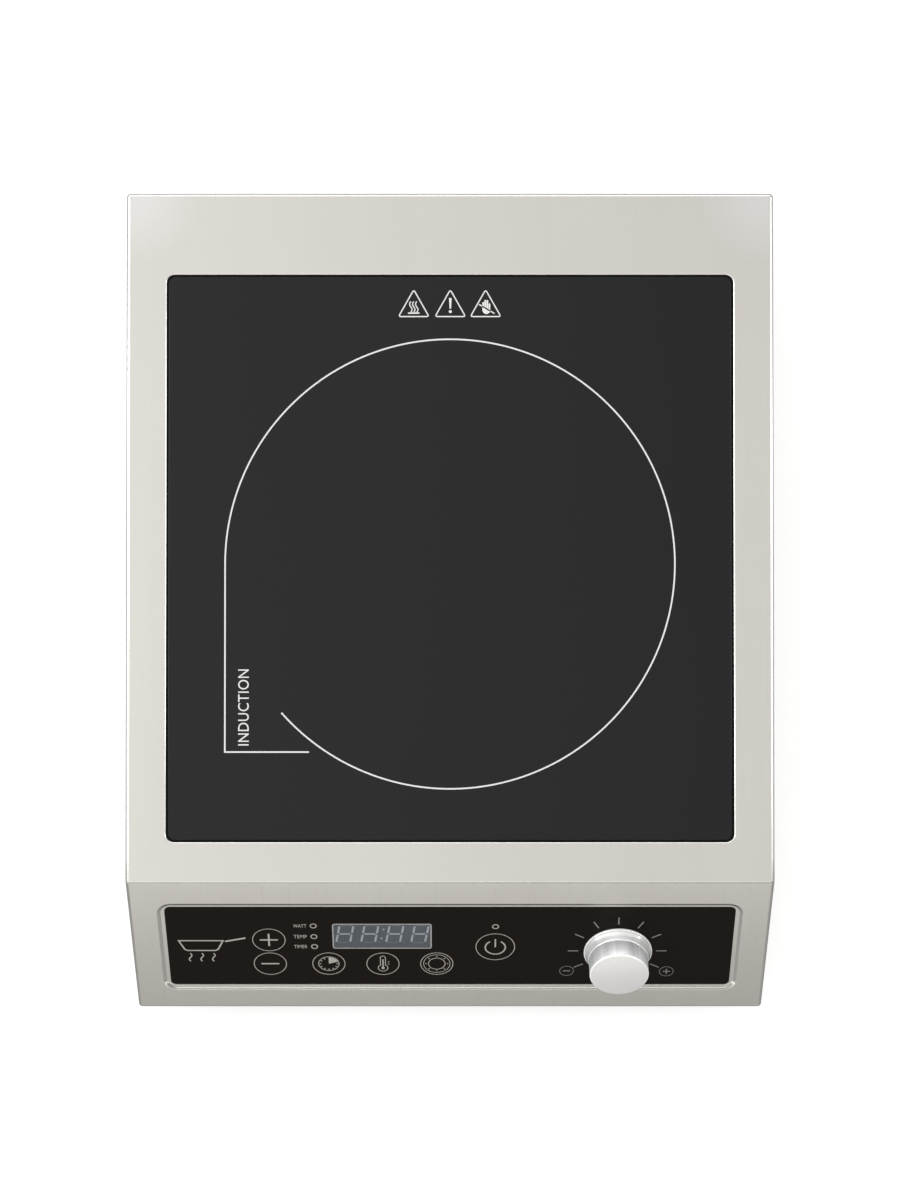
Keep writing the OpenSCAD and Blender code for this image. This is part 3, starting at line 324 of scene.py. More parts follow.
def satinSteel(s):  # brushed front to back, on the walls as on the top
    f = Finish("satinSteel", s["light"], 0.3, 1)

    def within(source, reach, most=1):  # 0 at the first value of reach, most at the second
        return f.spread(source, 0, most, fromLow=reach[0], fromHigh=reach[1])

    top = f.group(brushedGrain, Fine=s["fine"], Broad=s["broad"])
    side = f.group(brushedGrain, Fine=s["fineSide"], Broad=s["broadSide"])
    place = f.node("TexCoord")
    facing, spot = f.node("SeparateXYZ"), f.node("SeparateXYZ")
    f.link(place.outputs["Normal"], facing.inputs[0])
    f.link(place.outputs["Object"], spot.inputs[0])
    turn = f.node("Math", operation="ABSOLUTE")
    f.link(facing.outputs["X"], turn.inputs[0])
    onSide = within(turn.outputs[0], s["sideFrom"])
    lines, bands = f.node("Mix"), f.node("Mix")
    for mix, label in ((lines, "Lines"), (bands, "Bands")):
        f.link(onSide, mix.inputs["Factor"])
        f.link(top.outputs[label], mix.inputs["A"])
        f.link(side.outputs[label], mix.inputs["B"])
    patches = f.group(softMottle, **s["patches"])
    tone = f.node("Math", operation="MULTIPLY_ADD")
    f.link(bands.outputs["Result"], tone.inputs[0])
    tone.inputs[1].default_value = s["bandShare"]
    f.link(f.spread(patches.outputs[0], *s["patchShare"]), tone.inputs[2])
    sheet = f.mixColour(tone.outputs[0], s["light"], s["dark"], None)
    # painted shade: a little darker towards the table, by height
    sheet = f.mixColour(within(spot.outputs["Z"], s["paintedShadeFrom"]), sheet, s["low"], None)
    # both rear corners are welded and ground bright
    mirrored = f.node("VectorMath", operation="ABSOLUTE")
    f.link(place.outputs["Object"], mirrored.inputs[0])
    away = f.node("VectorMath", operation="DISTANCE")
    f.link(mirrored.outputs[0], away.inputs[0])
    away.inputs[1].default_value = s["weldAt"]
    near = f.node("Math", operation="MULTIPLY")
    f.link(within(away.outputs["Value"], s["weldReach"], s["weldShare"]), near.inputs[0])
    f.link(within(spot.outputs["Y"], s["weldBehind"]), near.inputs[1])
    sheet = f.mixColour(near.outputs[0], sheet, s["weld"], None)
    # folds and pressed edges are smoother, with a painted highlight above, darker painted shade towards the front, and
    # painted shade underneath
    folds = f.group(foldMask).outputs[0]
    paintedFoldTop = f.mixColour(within(spot.outputs["Y"], s["frontFrom"]), s["fold"], s["foldFront"], None)
    folded = f.mixColour(within(facing.outputs["Z"], s["underFrom"]), paintedFoldTop, s["foldUnder"], None)
    f.mixColour(folds, sheet, folded)
    rough = f.node("Mix")
    f.link(folds, rough.inputs["Factor"])
    f.link(f.spread(lines.outputs["Result"], *s["rough"], fromLow=0.25, fromHigh=0.75), rough.inputs["A"])
    rough.inputs["B"].default_value = s["foldRough"]
    f.link(rough.outputs["Result"], f.shader.inputs["Roughness"])
    f.bump(lines.outputs["Result"], s["lines"], s["lineDepth"])
    return f.material


def zincSheet():  # galvanised sheet with large crystals
    f = Finish("zincSheet", (0.6, 0.61, 0.62), 0.4, 1)
    crystals = f.pattern("TexVoronoi", {"Scale": 130, "Randomness": 1})
    split = f.node("SeparateColor")
    f.link(crystals.outputs["Color"], split.inputs[0])
    f.mixColour(split.outputs[0], (0.52, 0.53, 0.55), (0.7, 0.71, 0.72))
    f.spread(split.outputs[1], 0.32, 0.5, target="Roughness")
    f.bump(f.group(fineGrain, Scale=900).outputs[0], 0.12)
    return f.material


def blackGlass():  # ceramic glass: dark body, clean gloss, a trace of wipe marks
    f = Finish("blackGlass", (0.0052, 0.0049, 0.0055), 0.1, 0, ior=1.365)
    wiped = f.group(brushedGrain, Fine=(60, 25, 60), Broad=(9, 4, 9))
    f.spread(wiped.outputs["Bands"], 0.05, 0.15, target="Roughness", fromLow=0.3, fromHigh=0.7)
    f.mixColour(wiped.outputs["Bands"], (0.0042, 0.0042, 0.0048), (0.0068, 0.0062, 0.0066))
    f.bump(f.group(fineGrain, Scale=700).outputs[0], 0.012, 0.00003)
    return f.material


def printInk(name, colour, uneven=0.12):  # screen printed ink, slightly uneven
    f = Finish(name, colour, 0.55)
    patches = f.group(softMottle, Scale=600, Low=0, High=1)
    f.mixColour(patches.outputs[0], colour, shade(colour, 1 - uneven))
    f.bump(f.group(fineGrain, Scale=4000).outputs[0], 0.1, 0.00002)
    return f.material


def overlayFilm():  # velvet polyester film, printed black from behind
    f = Finish("overlayFilm", (0.004, 0.0018, 0.0008), 0.4, 0, ior=1.185)
    patches = f.group(softMottle, Scale=25, Low=0.36, High=0.44)
    f.link(patches.outputs[0], f.shader.inputs["Roughness"])
    f.mixColour(patches.outputs[0], (0.0036, 0.0013, 0.0003), (0.005, 0.002, 0.0007))
    f.bump(f.group(fineGrain, Scale=5200).outputs[0], 0.08, 0.00002)
    return f.material


def displayWindow():  # tinted window over the digits, with the rows of fine dots behind it
    f = Finish("displayWindow", (0.045, 0.055, 0.07), 0.35)
    turned = f.node("Mapping")
    turned.inputs["Rotation"].default_value = (-slopeAngle, 0, 0)
    f.link(f.node("TexCoord").outputs["Object"], turned.inputs["Vector"])
    dots = f.node("TexVoronoi")
    dots.inputs["Scale"].default_value = 1150
    dots.inputs["Randomness"].default_value = 0.08
    f.link(turned.outputs[0], dots.inputs["Vector"])
    patches = f.group(softMottle, Scale=45, Low=0, High=1)
    ground = f.mixColour(patches.outputs[0], (0.06, 0.071, 0.09), (0.04, 0.05, 0.058), None)
    spots = f.spread(dots.outputs["Distance"], 0.55, 0, fromLow=0.15, fromHigh=0.55)
    f.mixColour(spots, ground, (0.09, 0.105, 0.12))
    f.bump(dots.outputs["Distance"], 0.15, 0.00003)
    return f.material


def spunMetal(name, light, dark, rough, rings, rays, strength, metallic=1, rim=None):  # turned round the knob's axis
    f = Finish(name, light, rough[0], metallic)
    lathe = f.group(turnedRings, Centre=knobPlace.translation, Tilt=(slopeAngle, 0, 0), Rings=rings)
    streaks = f.spread(lathe.outputs["Rays"], 0, rays, fromLow=0.3, fromHigh=0.7)
    face = f.mixColour(streaks, light, dark, None if rim else "Base Color")
    if rim:  # a painted highlight: a bright, less metallic bevel round the face
        bevel = f.group(foldMask, Boxed=0).outputs[0]
        f.mixColour(bevel, face, rim)
        f.spread(bevel, metallic, 0.25, target="Metallic")
    f.spread(lathe.outputs["Lines"], *rough, target="Roughness", fromLow=0.25, fromHigh=0.75)
    f.bump(lathe.outputs["Lines"], strength, 0.00003)
    return f.material


def moulded(name, colour, rough=0.5, grain=2600, strength=0.25, rub=0.25, **more):  # plastic or rubber, rubbed edges
    f = Finish(name, colour, rough, **more)
    patches = f.group(softMottle, Scale=90, Low=0, High=1)
    worn = f.group(edgeRub, Width=0.0005, Amount=rub)
    base = f.mixColour(patches.outputs[0], shade(colour, 0.86), shade(colour, 1.12), None)
    f.mixColour(worn.outputs[0], base, shade(colour, 1.6, 0.05))
    f.spread(patches.outputs[0], rough * 0.85, min(1, rough * 1.15), target="Roughness")
    f.bump(f.group(fineGrain, Scale=grain).outputs[0], strength, 0.00005)
    return f.material


def plainMetal(name, colour, rough=0.3, fine=(2500, 2500, 2500)):  # plated or drawn metal
    f = Finish(name, colour, rough, 1)
    grain = f.group(brushedGrain, Fine=fine, Broad=(60, 60, 60))
    worn = f.group(edgeRub, Width=0.0004, Amount=0.6)
    base = f.mixColour(grain.outputs["Bands"], shade(colour, 0.82), colour, None)
    f.mixColour(worn.outputs[0], base, shade(colour, 1.25))
    f.spread(grain.outputs["Lines"], rough * 0.75, rough * 1.35, target="Roughness", fromLow=0.25, fromHigh=0.75)
    f.bump(grain.outputs["Lines"], 0.1, 0.00004)
    return f.material


def woundWire():  # enamelled litz wire, twisted strands
    f = Finish("woundWire", (0.45, 0.16, 0.05), 0.35, 0.6)
    strands = f.pattern("TexWave", {"Scale": 260, "Distortion": 2.5})
    f.mixColour(strands.outputs["Fac"], (0.3, 0.09, 0.03), (0.62, 0.27, 0.1))
    f.bump(strands.outputs["Fac"], 0.4, 0.0002)
    return f.material


def micaSheet():  # pressed flakes
    f = Finish("micaSheet", (0.55, 0.42, 0.25), 0.5)
    flakes = f.pattern("TexVoronoi", {"Scale": 320})
    split = f.node("SeparateColor")
    f.link(flakes.outputs["Color"], split.inputs[0])
    f.mixColour(split.outputs[0], (0.5, 0.36, 0.2), (0.66, 0.53, 0.34))
    f.spread(split.outputs[1], 0.3, 0.65, target="Roughness")
    return f.material


def solderMask():  # green board with faint buried tracks
    f = Finish("solderMask", (0.012, 0.1, 0.045), 0.3, 0, coat=0.4, coatRoughness=0.2)
    tracks = f.pattern("TexBrick", {"Scale": 90, "Mortar Size": 0.06})
    f.mixColour(tracks.outputs["Fac"], (0.012, 0.1, 0.045), (0.02, 0.16, 0.075))
    f.bump(tracks.outputs["Fac"], 0.3, 0.00005)
    return f.material


def studioPaper(s):
    f = Finish("studioPaper", s["floorColour"], 0.9, specular=0.1, glowColour=(1, 1, 1, 1))
    seen = f.node("LightPath")  # lit from below for the eye, plain grey in reflections
    f.spread(seen.outputs["Is Camera Ray"], 0, s["floorGlow"], target="Emission Strength")
    patches = f.group(softMottle, Scale=3, Low=0, High=1)
    f.mixColour(patches.outputs[0], s["floorColour"], shade(s["floorColour"], 0.985))
    return f.material


knobTurned = spunMetal("knobTurned", (0.93, 0.94, 0.945), (0.6, 0.62, 0.63), (0.4, 0.5), 9000, 1, 0.1, 0.35)
finishes = {  # one for each material slot of the record
    "satin_steel": satinSteel(satinLook),
    "base_steel": zincSheet(),
    "black_glass": blackGlass(),
    "seal_silicone": moulded("sealSilicone", (0.003, 0.003, 0.003), 0.7, 3000, 0.1, 0.02, specular=0.1),
    "foot_rubber": moulded("footRubber", (0.018, 0.018, 0.019), 0.75, 1800, 0.45, 0.2),
    "zinc_steel": plainMetal("zincScrew", (0.66, 0.67, 0.68), 0.28),
    "overlay_film": overlayFilm(),
    "black_nylon": moulded("blackNylon", (0.02, 0.02, 0.021), 0.5, 2200, 0.3, 0.25),
    "stud_brass": plainMetal("studBrass", (0.72, 0.5, 0.2), 0.3),
    # the last colour is a painted highlight on the cap's bevel
    "knob_satin": spunMetal("knobSatin", (0.875, 0.868, 0.866), (0.83, 0.823, 0.82), (0.34, 0.42), 5200, 0.4, 0.08,
                            0.9, (0.97, 0.97, 0.975)),
    # painted highlight: the chrome skirt is near white and partly diffuse, standing in for its bright reflections
    "knob_chrome": spunMetal("knobChromePaintedSheen", (0.98, 0.982, 0.987), (0.92, 0.925, 0.932), (0.1, 0.16), 1500, 0.6, 0.02,
                             0.4),
    "core_plastic": moulded("corePlastic", (0.06, 0.06, 0.06), 0.5),
    "shaft_steel": plainMetal("shaftSteel", (0.62, 0.62, 0.61), 0.25),
    "white_plastic": moulded("whitePlastic", (0.7, 0.69, 0.64), 0.45),
    "board_green": solderMask(),
    "chip_black": moulded("chipBlack", (0.02, 0.02, 0.02), 0.45, 3500, 0.3, 0.1),
    "display_grey": moulded("displayGrey", (0.16, 0.18, 0.2), 0.4),
    "lamp_epoxy": moulded("lampEpoxy", (0.6, 0.34, 0.31), 0.15, 900, 0.05, 0.1),
    "sink_aluminium": plainMetal("sinkAluminium", (0.72, 0.73, 0.75), 0.35, (3500, 40, 3500)),
    "litz_copper": woundWire(),
    "ferrite_grey": moulded("ferriteGrey", (0.045, 0.045, 0.05), 0.7, 1500, 0.35, 0.3),
    "film_block": moulded("filmBlock", (0.04, 0.14, 0.36), 0.3, 1200, 0.1, 0.15),
    "can_sleeve": moulded("canSleeve", (0.015, 0.03, 0.12), 0.25, 1200, 0.1, 0.15),
    "mica_sheet": micaSheet(),
    "spring_steel": plainMetal("springSteel", (0.62, 0.62, 0.63), 0.25)}
topInk = printInk("glassInk", (0.74, 0.74, 0.73))
panelInk = printInk("panelInk", (0.44, 0.42, 0.39), 0.2)
panelInkSoft = printInk("panelInkSoft", (0.24, 0.235, 0.23), 0.25)
segmentInk = printInk("segmentInk", (0.33, 0.37, 0.4), 0.25)
segmentDim = printInk("segmentDim", (0.13, 0.15, 0.165), 0.4)
frameInk = printInk("frameInk", (0.4, 0.4, 0.4), 0.2)
windowTint = displayWindow()
print("materials made:", len(bpy.data.materials))

cleanShade = [("WEIGHTED_NORMAL", "cleanShade", {"keep_sharp": True, "weight": 60})]


def addModifiers(piece, modifiers):
    for kind, label, values in modifiers:
        modifier = piece.modifiers.new(label, kind)
        for key, value in values.items():
            setattr(modifier, key, value)


def finishPiece(name, bm, place, body, slotName, material=None, sharp=35, modifiers=()):
    bmesh.ops.transform(bm, matrix=place, verts=bm.verts)
    for face in bm.faces:
        face.smooth = True
    for edge in bm.edges:
        edge.smooth = len(edge.link_faces) == 2 and edge.calc_face_angle(0) < math.radians(sharp)
    mesh = bpy.data.meshes.new(name)
    bm.to_mesh(mesh)
    bm.free()
    mesh.materials.append(material or finishes[slotName])
    piece = bpy.data.objects.new(name, mesh)
    bpy.context.scene.collection.objects.link(piece)
    addModifiers(piece, modifiers)
    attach(piece, body)
    return piece


def bevelledMesh(bm, modifiers):  # applies modifiers to a bmesh and gives back the new one
    mesh = bpy.data.meshes.new("draft")
    bm.to_mesh(mesh)
    bm.free()
    draft = bpy.data.objects.new("draft", mesh)
    bpy.context.scene.collection.objects.link(draft)
    addModifiers(draft, modifiers)
    made = bmesh.new()
    made.from_object(draft, bpy.context.evaluated_depsgraph_get())
    bpy.data.objects.remove(draft)
    bpy.data.meshes.remove(mesh)
    return made


def bevelCorners(bm, corners, radius, segments):  # rounds the corners of a flat face and gives back that face
    made = bmesh.ops.bevel(bm, geom=corners, offset=radius, segments=segments, affect="VERTICES", profile=0.5,
                           material=-1, clamp_overlap=True)["verts"]
    return made[0].link_faces[0]


def bevelEdges(bm, edges, width, segments):
    bmesh.ops.bevel(bm, geom=edges, offset=width, segments=segments, affect="EDGES", profile=0.5, material=-1,
                    clamp_overlap=True)


def plateFace(bm, width, length, radius, place=Matrix(), segments=6):  # a flat face with rounded corners
    size = place @ Matrix.Diagonal((width, length, 1, 1))
    made = bmesh.ops.create_grid(bm, x_segments=1, y_segments=1, size=0.5, matrix=size)["verts"]
    return bevelCorners(bm, made, radius, segments) if radius > 0 else made[0].link_faces[0]


def roundedLoop(bm, width, length, radius, place=Matrix(), segments=6):  # the bare edges of such a face
    face = plateFace(bm, width, length, radius, place, segments)
    edges = list(face.edges)
    bmesh.ops.delete(bm, geom=[face], context="FACES_ONLY")
    return edges


def circleLoop(bm, radius, place, segments=32):
    made = bmesh.ops.create_circle(bm, segments=segments, radius=radius, matrix=place)["verts"]
    return list({edge for vert in made for edge in vert.link_edges})


def fillFlat(bm, edges, normal):
    bmesh.ops.triangle_fill(bm, use_beauty=True, edges=list(edges), normal=normal)


def cutFace(bm, face, holes):  # swaps a flat face for one with holes, each a list of edges
    edges = list(face.edges)
    normal = face.normal.copy()
    bmesh.ops.delete(bm, geom=[face], context="FACES_ONLY")
    fillFlat(bm, edges + [edge for hole in holes for edge in hole], normal)


def bridgeAll(bm, loops, closed=False):  # skins a row of loops, each a list of edges
    for first, second in zip(loops, loops[1:] + loops[:1] if closed else loops[1:]):
        bmesh.ops.bridge_loops(bm, edges=first + second)


def pushOut(bm, faces, way):
    pushed = bmesh.ops.extrude_face_region(bm, geom=faces)["geom"]
    bmesh.ops.translate(bm, vec=way, verts=[g for g in pushed if isinstance(g, bmesh.types.BMVert)])


def spinRound(bm, geom, centre=(0, 0), angle=math.tau, steps=96):
    bmesh.ops.spin(bm, geom=geom, cent=(*centre, 0), axis=(0, 0, 1), dvec=(0, 0, 0), angle=angle, steps=steps,
                   use_merge=abs(angle) >= math.tau, use_normal_flip=False)


def bar(bm, centre, width, length, angle=0, radius=0):
    place = Matrix.Translation((*centre, 0)) @ Matrix.Rotation(math.radians(angle), 4, "Z")
    plateFace(bm, width, length, radius, place, 3)


def stroke(bm, start, end, width):  # a straight line with round ends
    run = Vector(end) - Vector(start)
    middle = (Vector(start) + Vector(end)) / 2
    bar(bm, middle, run.length + width * 0.6, width, math.degrees(math.atan2(run.y, run.x)), width * 0.4)


def ribbon(bm, points, width, closed=False):  # a flat line of one width through the points, mitred where it turns
    points = [Vector(p) for p in points]
    count = len(points)
    runs = [(points[(i + 1) % count] - points[i]).normalized().orthogonal() for i in range(count)]
    edges = []
    for i, point in enumerate(points):
        before = runs[i - 1] if closed or i else runs[i]
        after = runs[i] if closed or i < count - 1 else runs[i - 1]
        across = (before + after).normalized()
        across *= width / 2 / across.dot(before)
        edges.append([bm.edges.new([bm.verts.new((*(point + across * side), 0)) for side in (-1, 1)])])
    bridgeAll(bm, edges, closed)


def onCircle(centre, radius, degrees):
    turn = math.radians(degrees)
    return centre[0] + radius * math.cos(turn), centre[1] + radius * math.sin(turn)


def arc(centre, radius, start, end, steps):  # points along part of a circle
    return [onCircle(centre, radius, start + (end - start) * i / steps) for i in range(steps + 1)]


def wave(bm, foot, tall, sway, width, steps=14):  # an S-shaped line of rising heat
    rise = [i / steps for i in range(steps + 1)]
    ribbon(bm, [(foot[0] + sway * math.sin(math.tau * t), foot[1] + tall * t) for t in rise], width)


def patch(bm, points):
    return bm.faces.new([bm.verts.new((*p, 0)) for p in points])


def plus(bm, centre, reach, width):  # a cross as one face
    half, thin = reach / 2, width / 2
    corners = [(thin, thin), (thin, half), (-thin, half), (-thin, thin), (-half, thin), (-half, -thin),
               (-thin, -thin), (-thin, -half), (thin, -half), (thin, -thin), (half, -thin), (half, thin)]
    patch(bm, [(centre[0] + x, centre[1] + y) for x, y in corners])


def ring(bm, centre, radius, width, start=0, turn=360, steps=72):  # a flat ring or arc, spun
    ends = [bm.verts.new((*onCircle(centre, r, start), 0)) for r in (radius - width / 2, radius + width / 2)]
    spinRound(bm, ends + [bm.edges.new(ends)], centre, math.radians(turn), max(3, int(steps * abs(turn) / 360)))


def disc(bm, centre, radius, segments=32):
    place = Matrix.Translation((*centre, 0))
    bmesh.ops.create_circle(bm, cap_ends=True, segments=segments, radius=radius, matrix=place)


def outline(bm, points, width, radius):  # a closed line round rounded corners
    face = bevelCorners(bm, list(patch(bm, points).verts), radius, 4)
    bmesh.ops.inset_region(bm, faces=[face], thickness=width, use_even_offset=True, use_boundary=True)
    bmesh.ops.delete(bm, geom=[face], context="FACES")


def words(bm, text, box, angle=0, spacing=1.05):  # flat lettering fitted to a box, x0, y0, x1, y1 before it is turned
    curve = bpy.data.curves.new("words", "FONT")
    curve.body, curve.size, curve.space_character, curve.resolution_u = text, 10, spacing, 3
    draft = bpy.data.objects.new("words", curve)
    bpy.context.scene.collection.objects.link(draft)
    letters = bmesh.new()
    mesh = bpy.data.meshes.new_from_object(draft.evaluated_get(bpy.context.evaluated_depsgraph_get()))
    letters.from_mesh(mesh)
    low = Vector([min(v.co[i] for v in letters.verts) for i in (0, 1)])
    high = Vector([max(v.co[i] for v in letters.verts) for i in (0, 1)])
    middle = Matrix.Translation(((box[0] + box[2]) / 2, (box[1] + box[3]) / 2, 0))
    fit = Matrix.Diagonal(((box[2] - box[0]) / (high.x - low.x), (box[3] - box[1]) / (high.y - low.y), 1, 1))
    centred = Matrix.Translation((-(low.x + high.x) / 2, -(low.y + high.y) / 2, 0))
    turned = Matrix.Rotation(math.radians(angle), 4, "Z")
    bmesh.ops.transform(letters, matrix=middle @ turned @ fit @ centred, verts=letters.verts)
    letters.to_mesh(mesh)
    letters.free()
    bm.from_mesh(mesh)
    bpy.data.objects.remove(draft)
    bpy.data.curves.remove(curve)
    bpy.data.meshes.remove(mesh)


def printed(name, bm, place, height, body, slotName, material, thickness=0.02):  # flat artwork becomes a film of ink
    bmesh.ops.dissolve_degenerate(bm, dist=0.0001, edges=bm.edges)
    bmesh.ops.recalc_face_normals(bm, faces=bm.faces)
    for face in bm.faces:
        if face.normal.z < 0:
            face.normal_flip()
    pushOut(bm, list(bm.faces), (0, 0, thickness))
    bmesh.ops.recalc_face_normals(bm, faces=bm.faces)
    finishPiece(name, bm, place @ Matrix.Translation((0, 0, height)), body, slotName, material)


def level(edge):
    return abs(edge.verts[0].co.z - edge.verts[1].co.z) < 1e-5


def lathe(profile, steps, soften, segments=3, softenAbove=20, closed=True):  # spins points (radius, height)
    bm = bmesh.new()
    points = [bm.verts.new((r, 0, h)) for r, h in (profile + profile[:1] if closed else profile)]
    edges = [bm.edges.new((a, b)) for a, b in zip(points, points[1:])]
    spinRound(bm, points + edges, steps=steps)
    bmesh.ops.remove_doubles(bm, verts=bm.verts, dist=0.0005)
    bmesh.ops.recalc_face_normals(bm, faces=bm.faces)
    rims = [e for e in bm.edges if len(e.link_faces) == 2 and level(e)
            and abs(e.verts[0].co.xy.length - e.verts[1].co.xy.length) < 1e-4
            and e.calc_face_angle(0) > math.radians(softenAbove)]
    bevelEdges(bm, rims, soften, segments)
    return bm


def roundedPlate(width, length, corner, thick, edge):  # a plate with rounded corners and softened edges
    bm = bmesh.new()
    pushOut(bm, [plateFace(bm, width, length, corner, segments=8)], (0, 0, thick))
    bmesh.ops.recalc_face_normals(bm, faces=bm.faces)
    rims = [e for e in bm.edges if len(e.link_faces) == 2 and level(e)
            and abs(e.calc_face_angle() - math.pi / 2) < 0.01]
    bevelEdges(bm, rims, edge, 3)
    return bm


casing = {"halfWidth": 163.5, "front": -213, "crease": -143, "rear": 205, "low": 15.2, "lip": 36, "top": 100,
          "sheet": 1, "bend": 2, "flange": 12,
          "openingMiddle": 20.5, "opening": 286, "openingCorner": 4, "rim": 0.8, "seat": 95.2, "ledge": 9,
          "vents": 14, "ventPitch": 8, "ventWidth": 3, "ventHeight": 28, "ventMiddle": (53, 47.2),
          "rearHole": (295, 56.8, 51.6), "rearScrews": [(-154.5, 31.2), (154.5, 31.2), (-154.5, 72), (154.5, 72)],
          "screwHole": 2.1,
          "recess": (294.4, 61.8, -48.5), "recessCorner": 5.5,  # width, length, middle on the slope
          "recessLip": [(2.4, 0), (2, -0.03), (1.6, -0.12), (1.25, -0.27), (0.95, -0.45), (0.65, -0.62),
                        (0.35, -0.76), (0.1, -0.84), (-0.2, -0.87)],  # distance out, height
          "window": (153, 48, -31.5, -1.3), "shaftHole": (4.6, 86.5, -3.5)}


def casingForm(s):  # the folded outer form, its edges rounded as the sheet bends
    bm = bmesh.new()
    corners = [(s["front"], s["low"]), (s["front"], s["lip"]), (s["crease"], s["top"]), (s["rear"], s["top"]),
               (s["rear"], s["low"])]
    side = bm.faces.new([bm.verts.new((-s["halfWidth"], y, z)) for y, z in corners])
    pushOut(bm, [side], (2 * s["halfWidth"], 0, 0))
    floor = [f for f in bm.faces if all(abs(v.co.z - s["low"]) < 1e-6 for v in f.verts)]
    bmesh.ops.delete(bm, geom=floor, context="FACES")
    bmesh.ops.recalc_face_normals(bm, faces=bm.faces)
    if [f for f in bm.faces if f.calc_center_median().z > s["top"] - 1][0].normal.z < 0:
        bmesh.ops.reverse_faces(bm, faces=bm.faces)
    weights = bm.edges.layers.float.new("bevel_weight_edge")
    for edge in bm.edges:
        if len(edge.link_faces) == 2:
            edge[weights] = min(1, math.tan(edge.calc_face_angle() / 2))  # the same bend radius at every fold
    return bevelledMesh(bm, [("BEVEL", "folds", {"width": s["bend"], "segments": 6, "limit_method": "WEIGHT",
                                                 "profile": 0.5})])


def biggest(bm, direction):
    facing = [f for f in bm.faces if f.normal.dot(Vector(direction)) > 0.999]
    return max(facing, key=lambda f: f.calc_area())


def makeCasing(s):
    bm = casingForm(s)
    # glass opening: a rolled rim, the wall and the ledge below
    top = biggest(bm, (0, 0, 1))
    turns = [math.radians(90 * step / 4) for step in range(5)]
    rings = [(s["rim"] * (1 - math.sin(turn)), s["top"] - s["rim"] * (1 - math.cos(turn))) for turn in turns]
    rings += [(0, s["seat"] + 0.3), (0, s["seat"]), (-s["ledge"], s["seat"])]
    loops = []
    for out, z in rings:
        side, corner = s["opening"] + 2 * out, max(0.5, s["openingCorner"] + out)
        loops.append(roundedLoop(bm, side, side, corner, Matrix.Translation((0, s["openingMiddle"], z))))
    cutFace(bm, top, [loops[0]])
    bridgeAll(bm, loops)
    # pressed recess on the slope
    slope = biggest(bm, slopeNormal)
    width, length, middle = s["recess"]
    lay = (Matrix.Translation((0, s["crease"], s["top"])) @ Matrix.Rotation(slopeAngle, 4, "X")
           @ Matrix.Translation((0, middle, 0)))
    loops = [roundedLoop(bm, width + 2 * out, length + 2 * out, s["recessCorner"] + out,
                         lay @ Matrix.Translation((0, 0, height)), 8) for out, height in s["recessLip"]]
    cutFace(bm, slope, [loops[0]])
    bridgeAll(bm, loops)
    depth = s["recessLip"][-1][1]
    width, length, across, along = s["window"]
    window = roundedLoop(bm, width, length, 2, lay @ Matrix.Translation((across, along, depth)), 3)
    radius, across, along = s["shaftHole"]
    shaft = circleLoop(bm, radius, lay @ Matrix.Translation((across, along, depth)))
    fillFlat(bm, loops[-1] + window + shaft, slopeNormal)
    # side vents, rear opening, flange under the walls
    middle, height = s["ventMiddle"]
    for sign in (-1, 1):
        wall = biggest(bm, (sign, 0, 0))
        slots = []
        for i in range(s["vents"]):
            y = middle + (i - (s["vents"] - 1) / 2) * s["ventPitch"]
            lay = Matrix.Translation((sign * s["halfWidth"], y, height)) @ Matrix.Rotation(math.radians(90), 4, "Y")
            slots.append(roundedLoop(bm, s["ventHeight"], s["ventWidth"], s["ventWidth"] * 0.49, lay, 5))
        cutFace(bm, wall, slots)
    back = biggest(bm, (0, 1, 0))
    upright = Matrix.Translation((0, s["rear"], 0)) @ Matrix.Rotation(math.radians(90), 4, "X")
    width, length, middle = s["rearHole"]
    holes = [roundedLoop(bm, width, length, 2, upright @ Matrix.Translation((0, middle, 0)), 4)]
    holes += [circleLoop(bm, s["screwHole"], upright @ Matrix.Translation((x, z, 0)), 20) for x, z in s["rearScrews"]]
    cutFace(bm, back, holes)
    foot = [e for e in bm.edges if len(e.link_faces) == 1 and all(abs(v.co.z - s["low"]) < 1e-4 for v in e.verts)]
    width, length = 2 * s["halfWidth"], s["rear"] - s["front"]
    inner = roundedLoop(bm, width - 2 * s["flange"], length - 2 * s["flange"], 0.5,
                        Matrix.Translation((0, (s["rear"] + s["front"]) / 2, s["low"])), 2)
    fillFlat(bm, foot + inner, (0, 0, -1))
    bmesh.ops.remove_doubles(bm, verts=bm.verts, dist=0.0005)
    bmesh.ops.recalc_face_normals(bm, faces=bm.faces)
    onTopFace = [f for f in bm.faces if f.calc_center_median().z > s["top"] - 1]
    if max(onTopFace, key=lambda f: abs(f.normal.z) * f.calc_area()).normal.z < 0:
        bmesh.ops.reverse_faces(bm, faces=bm.faces)
    thickness = {"thickness": s["sheet"] * 0.001, "offset": -1, "use_even_offset": True, "use_rim": True}
    piece = finishPiece("casingShell", bm, toMetres, "casing", "satin_steel", sharp=50,
                        modifiers=[("SOLIDIFY", "sheet", thickness)] + cleanShade)
    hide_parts("upper_casing")


makeCasing(casing)
print("casing made")

rearPanel = {"width": 313, "height": 70.8, "middle": 51.6, "face": 204, "sheet": 1,
             "slots": 18, "pitch": 8, "slot": (3, 28), "slotMiddle": (-50, 47.2),
             "bush": (98, 41.2, 10.2), "screws": casing["rearScrews"], "screwHole": casing["screwHole"]}


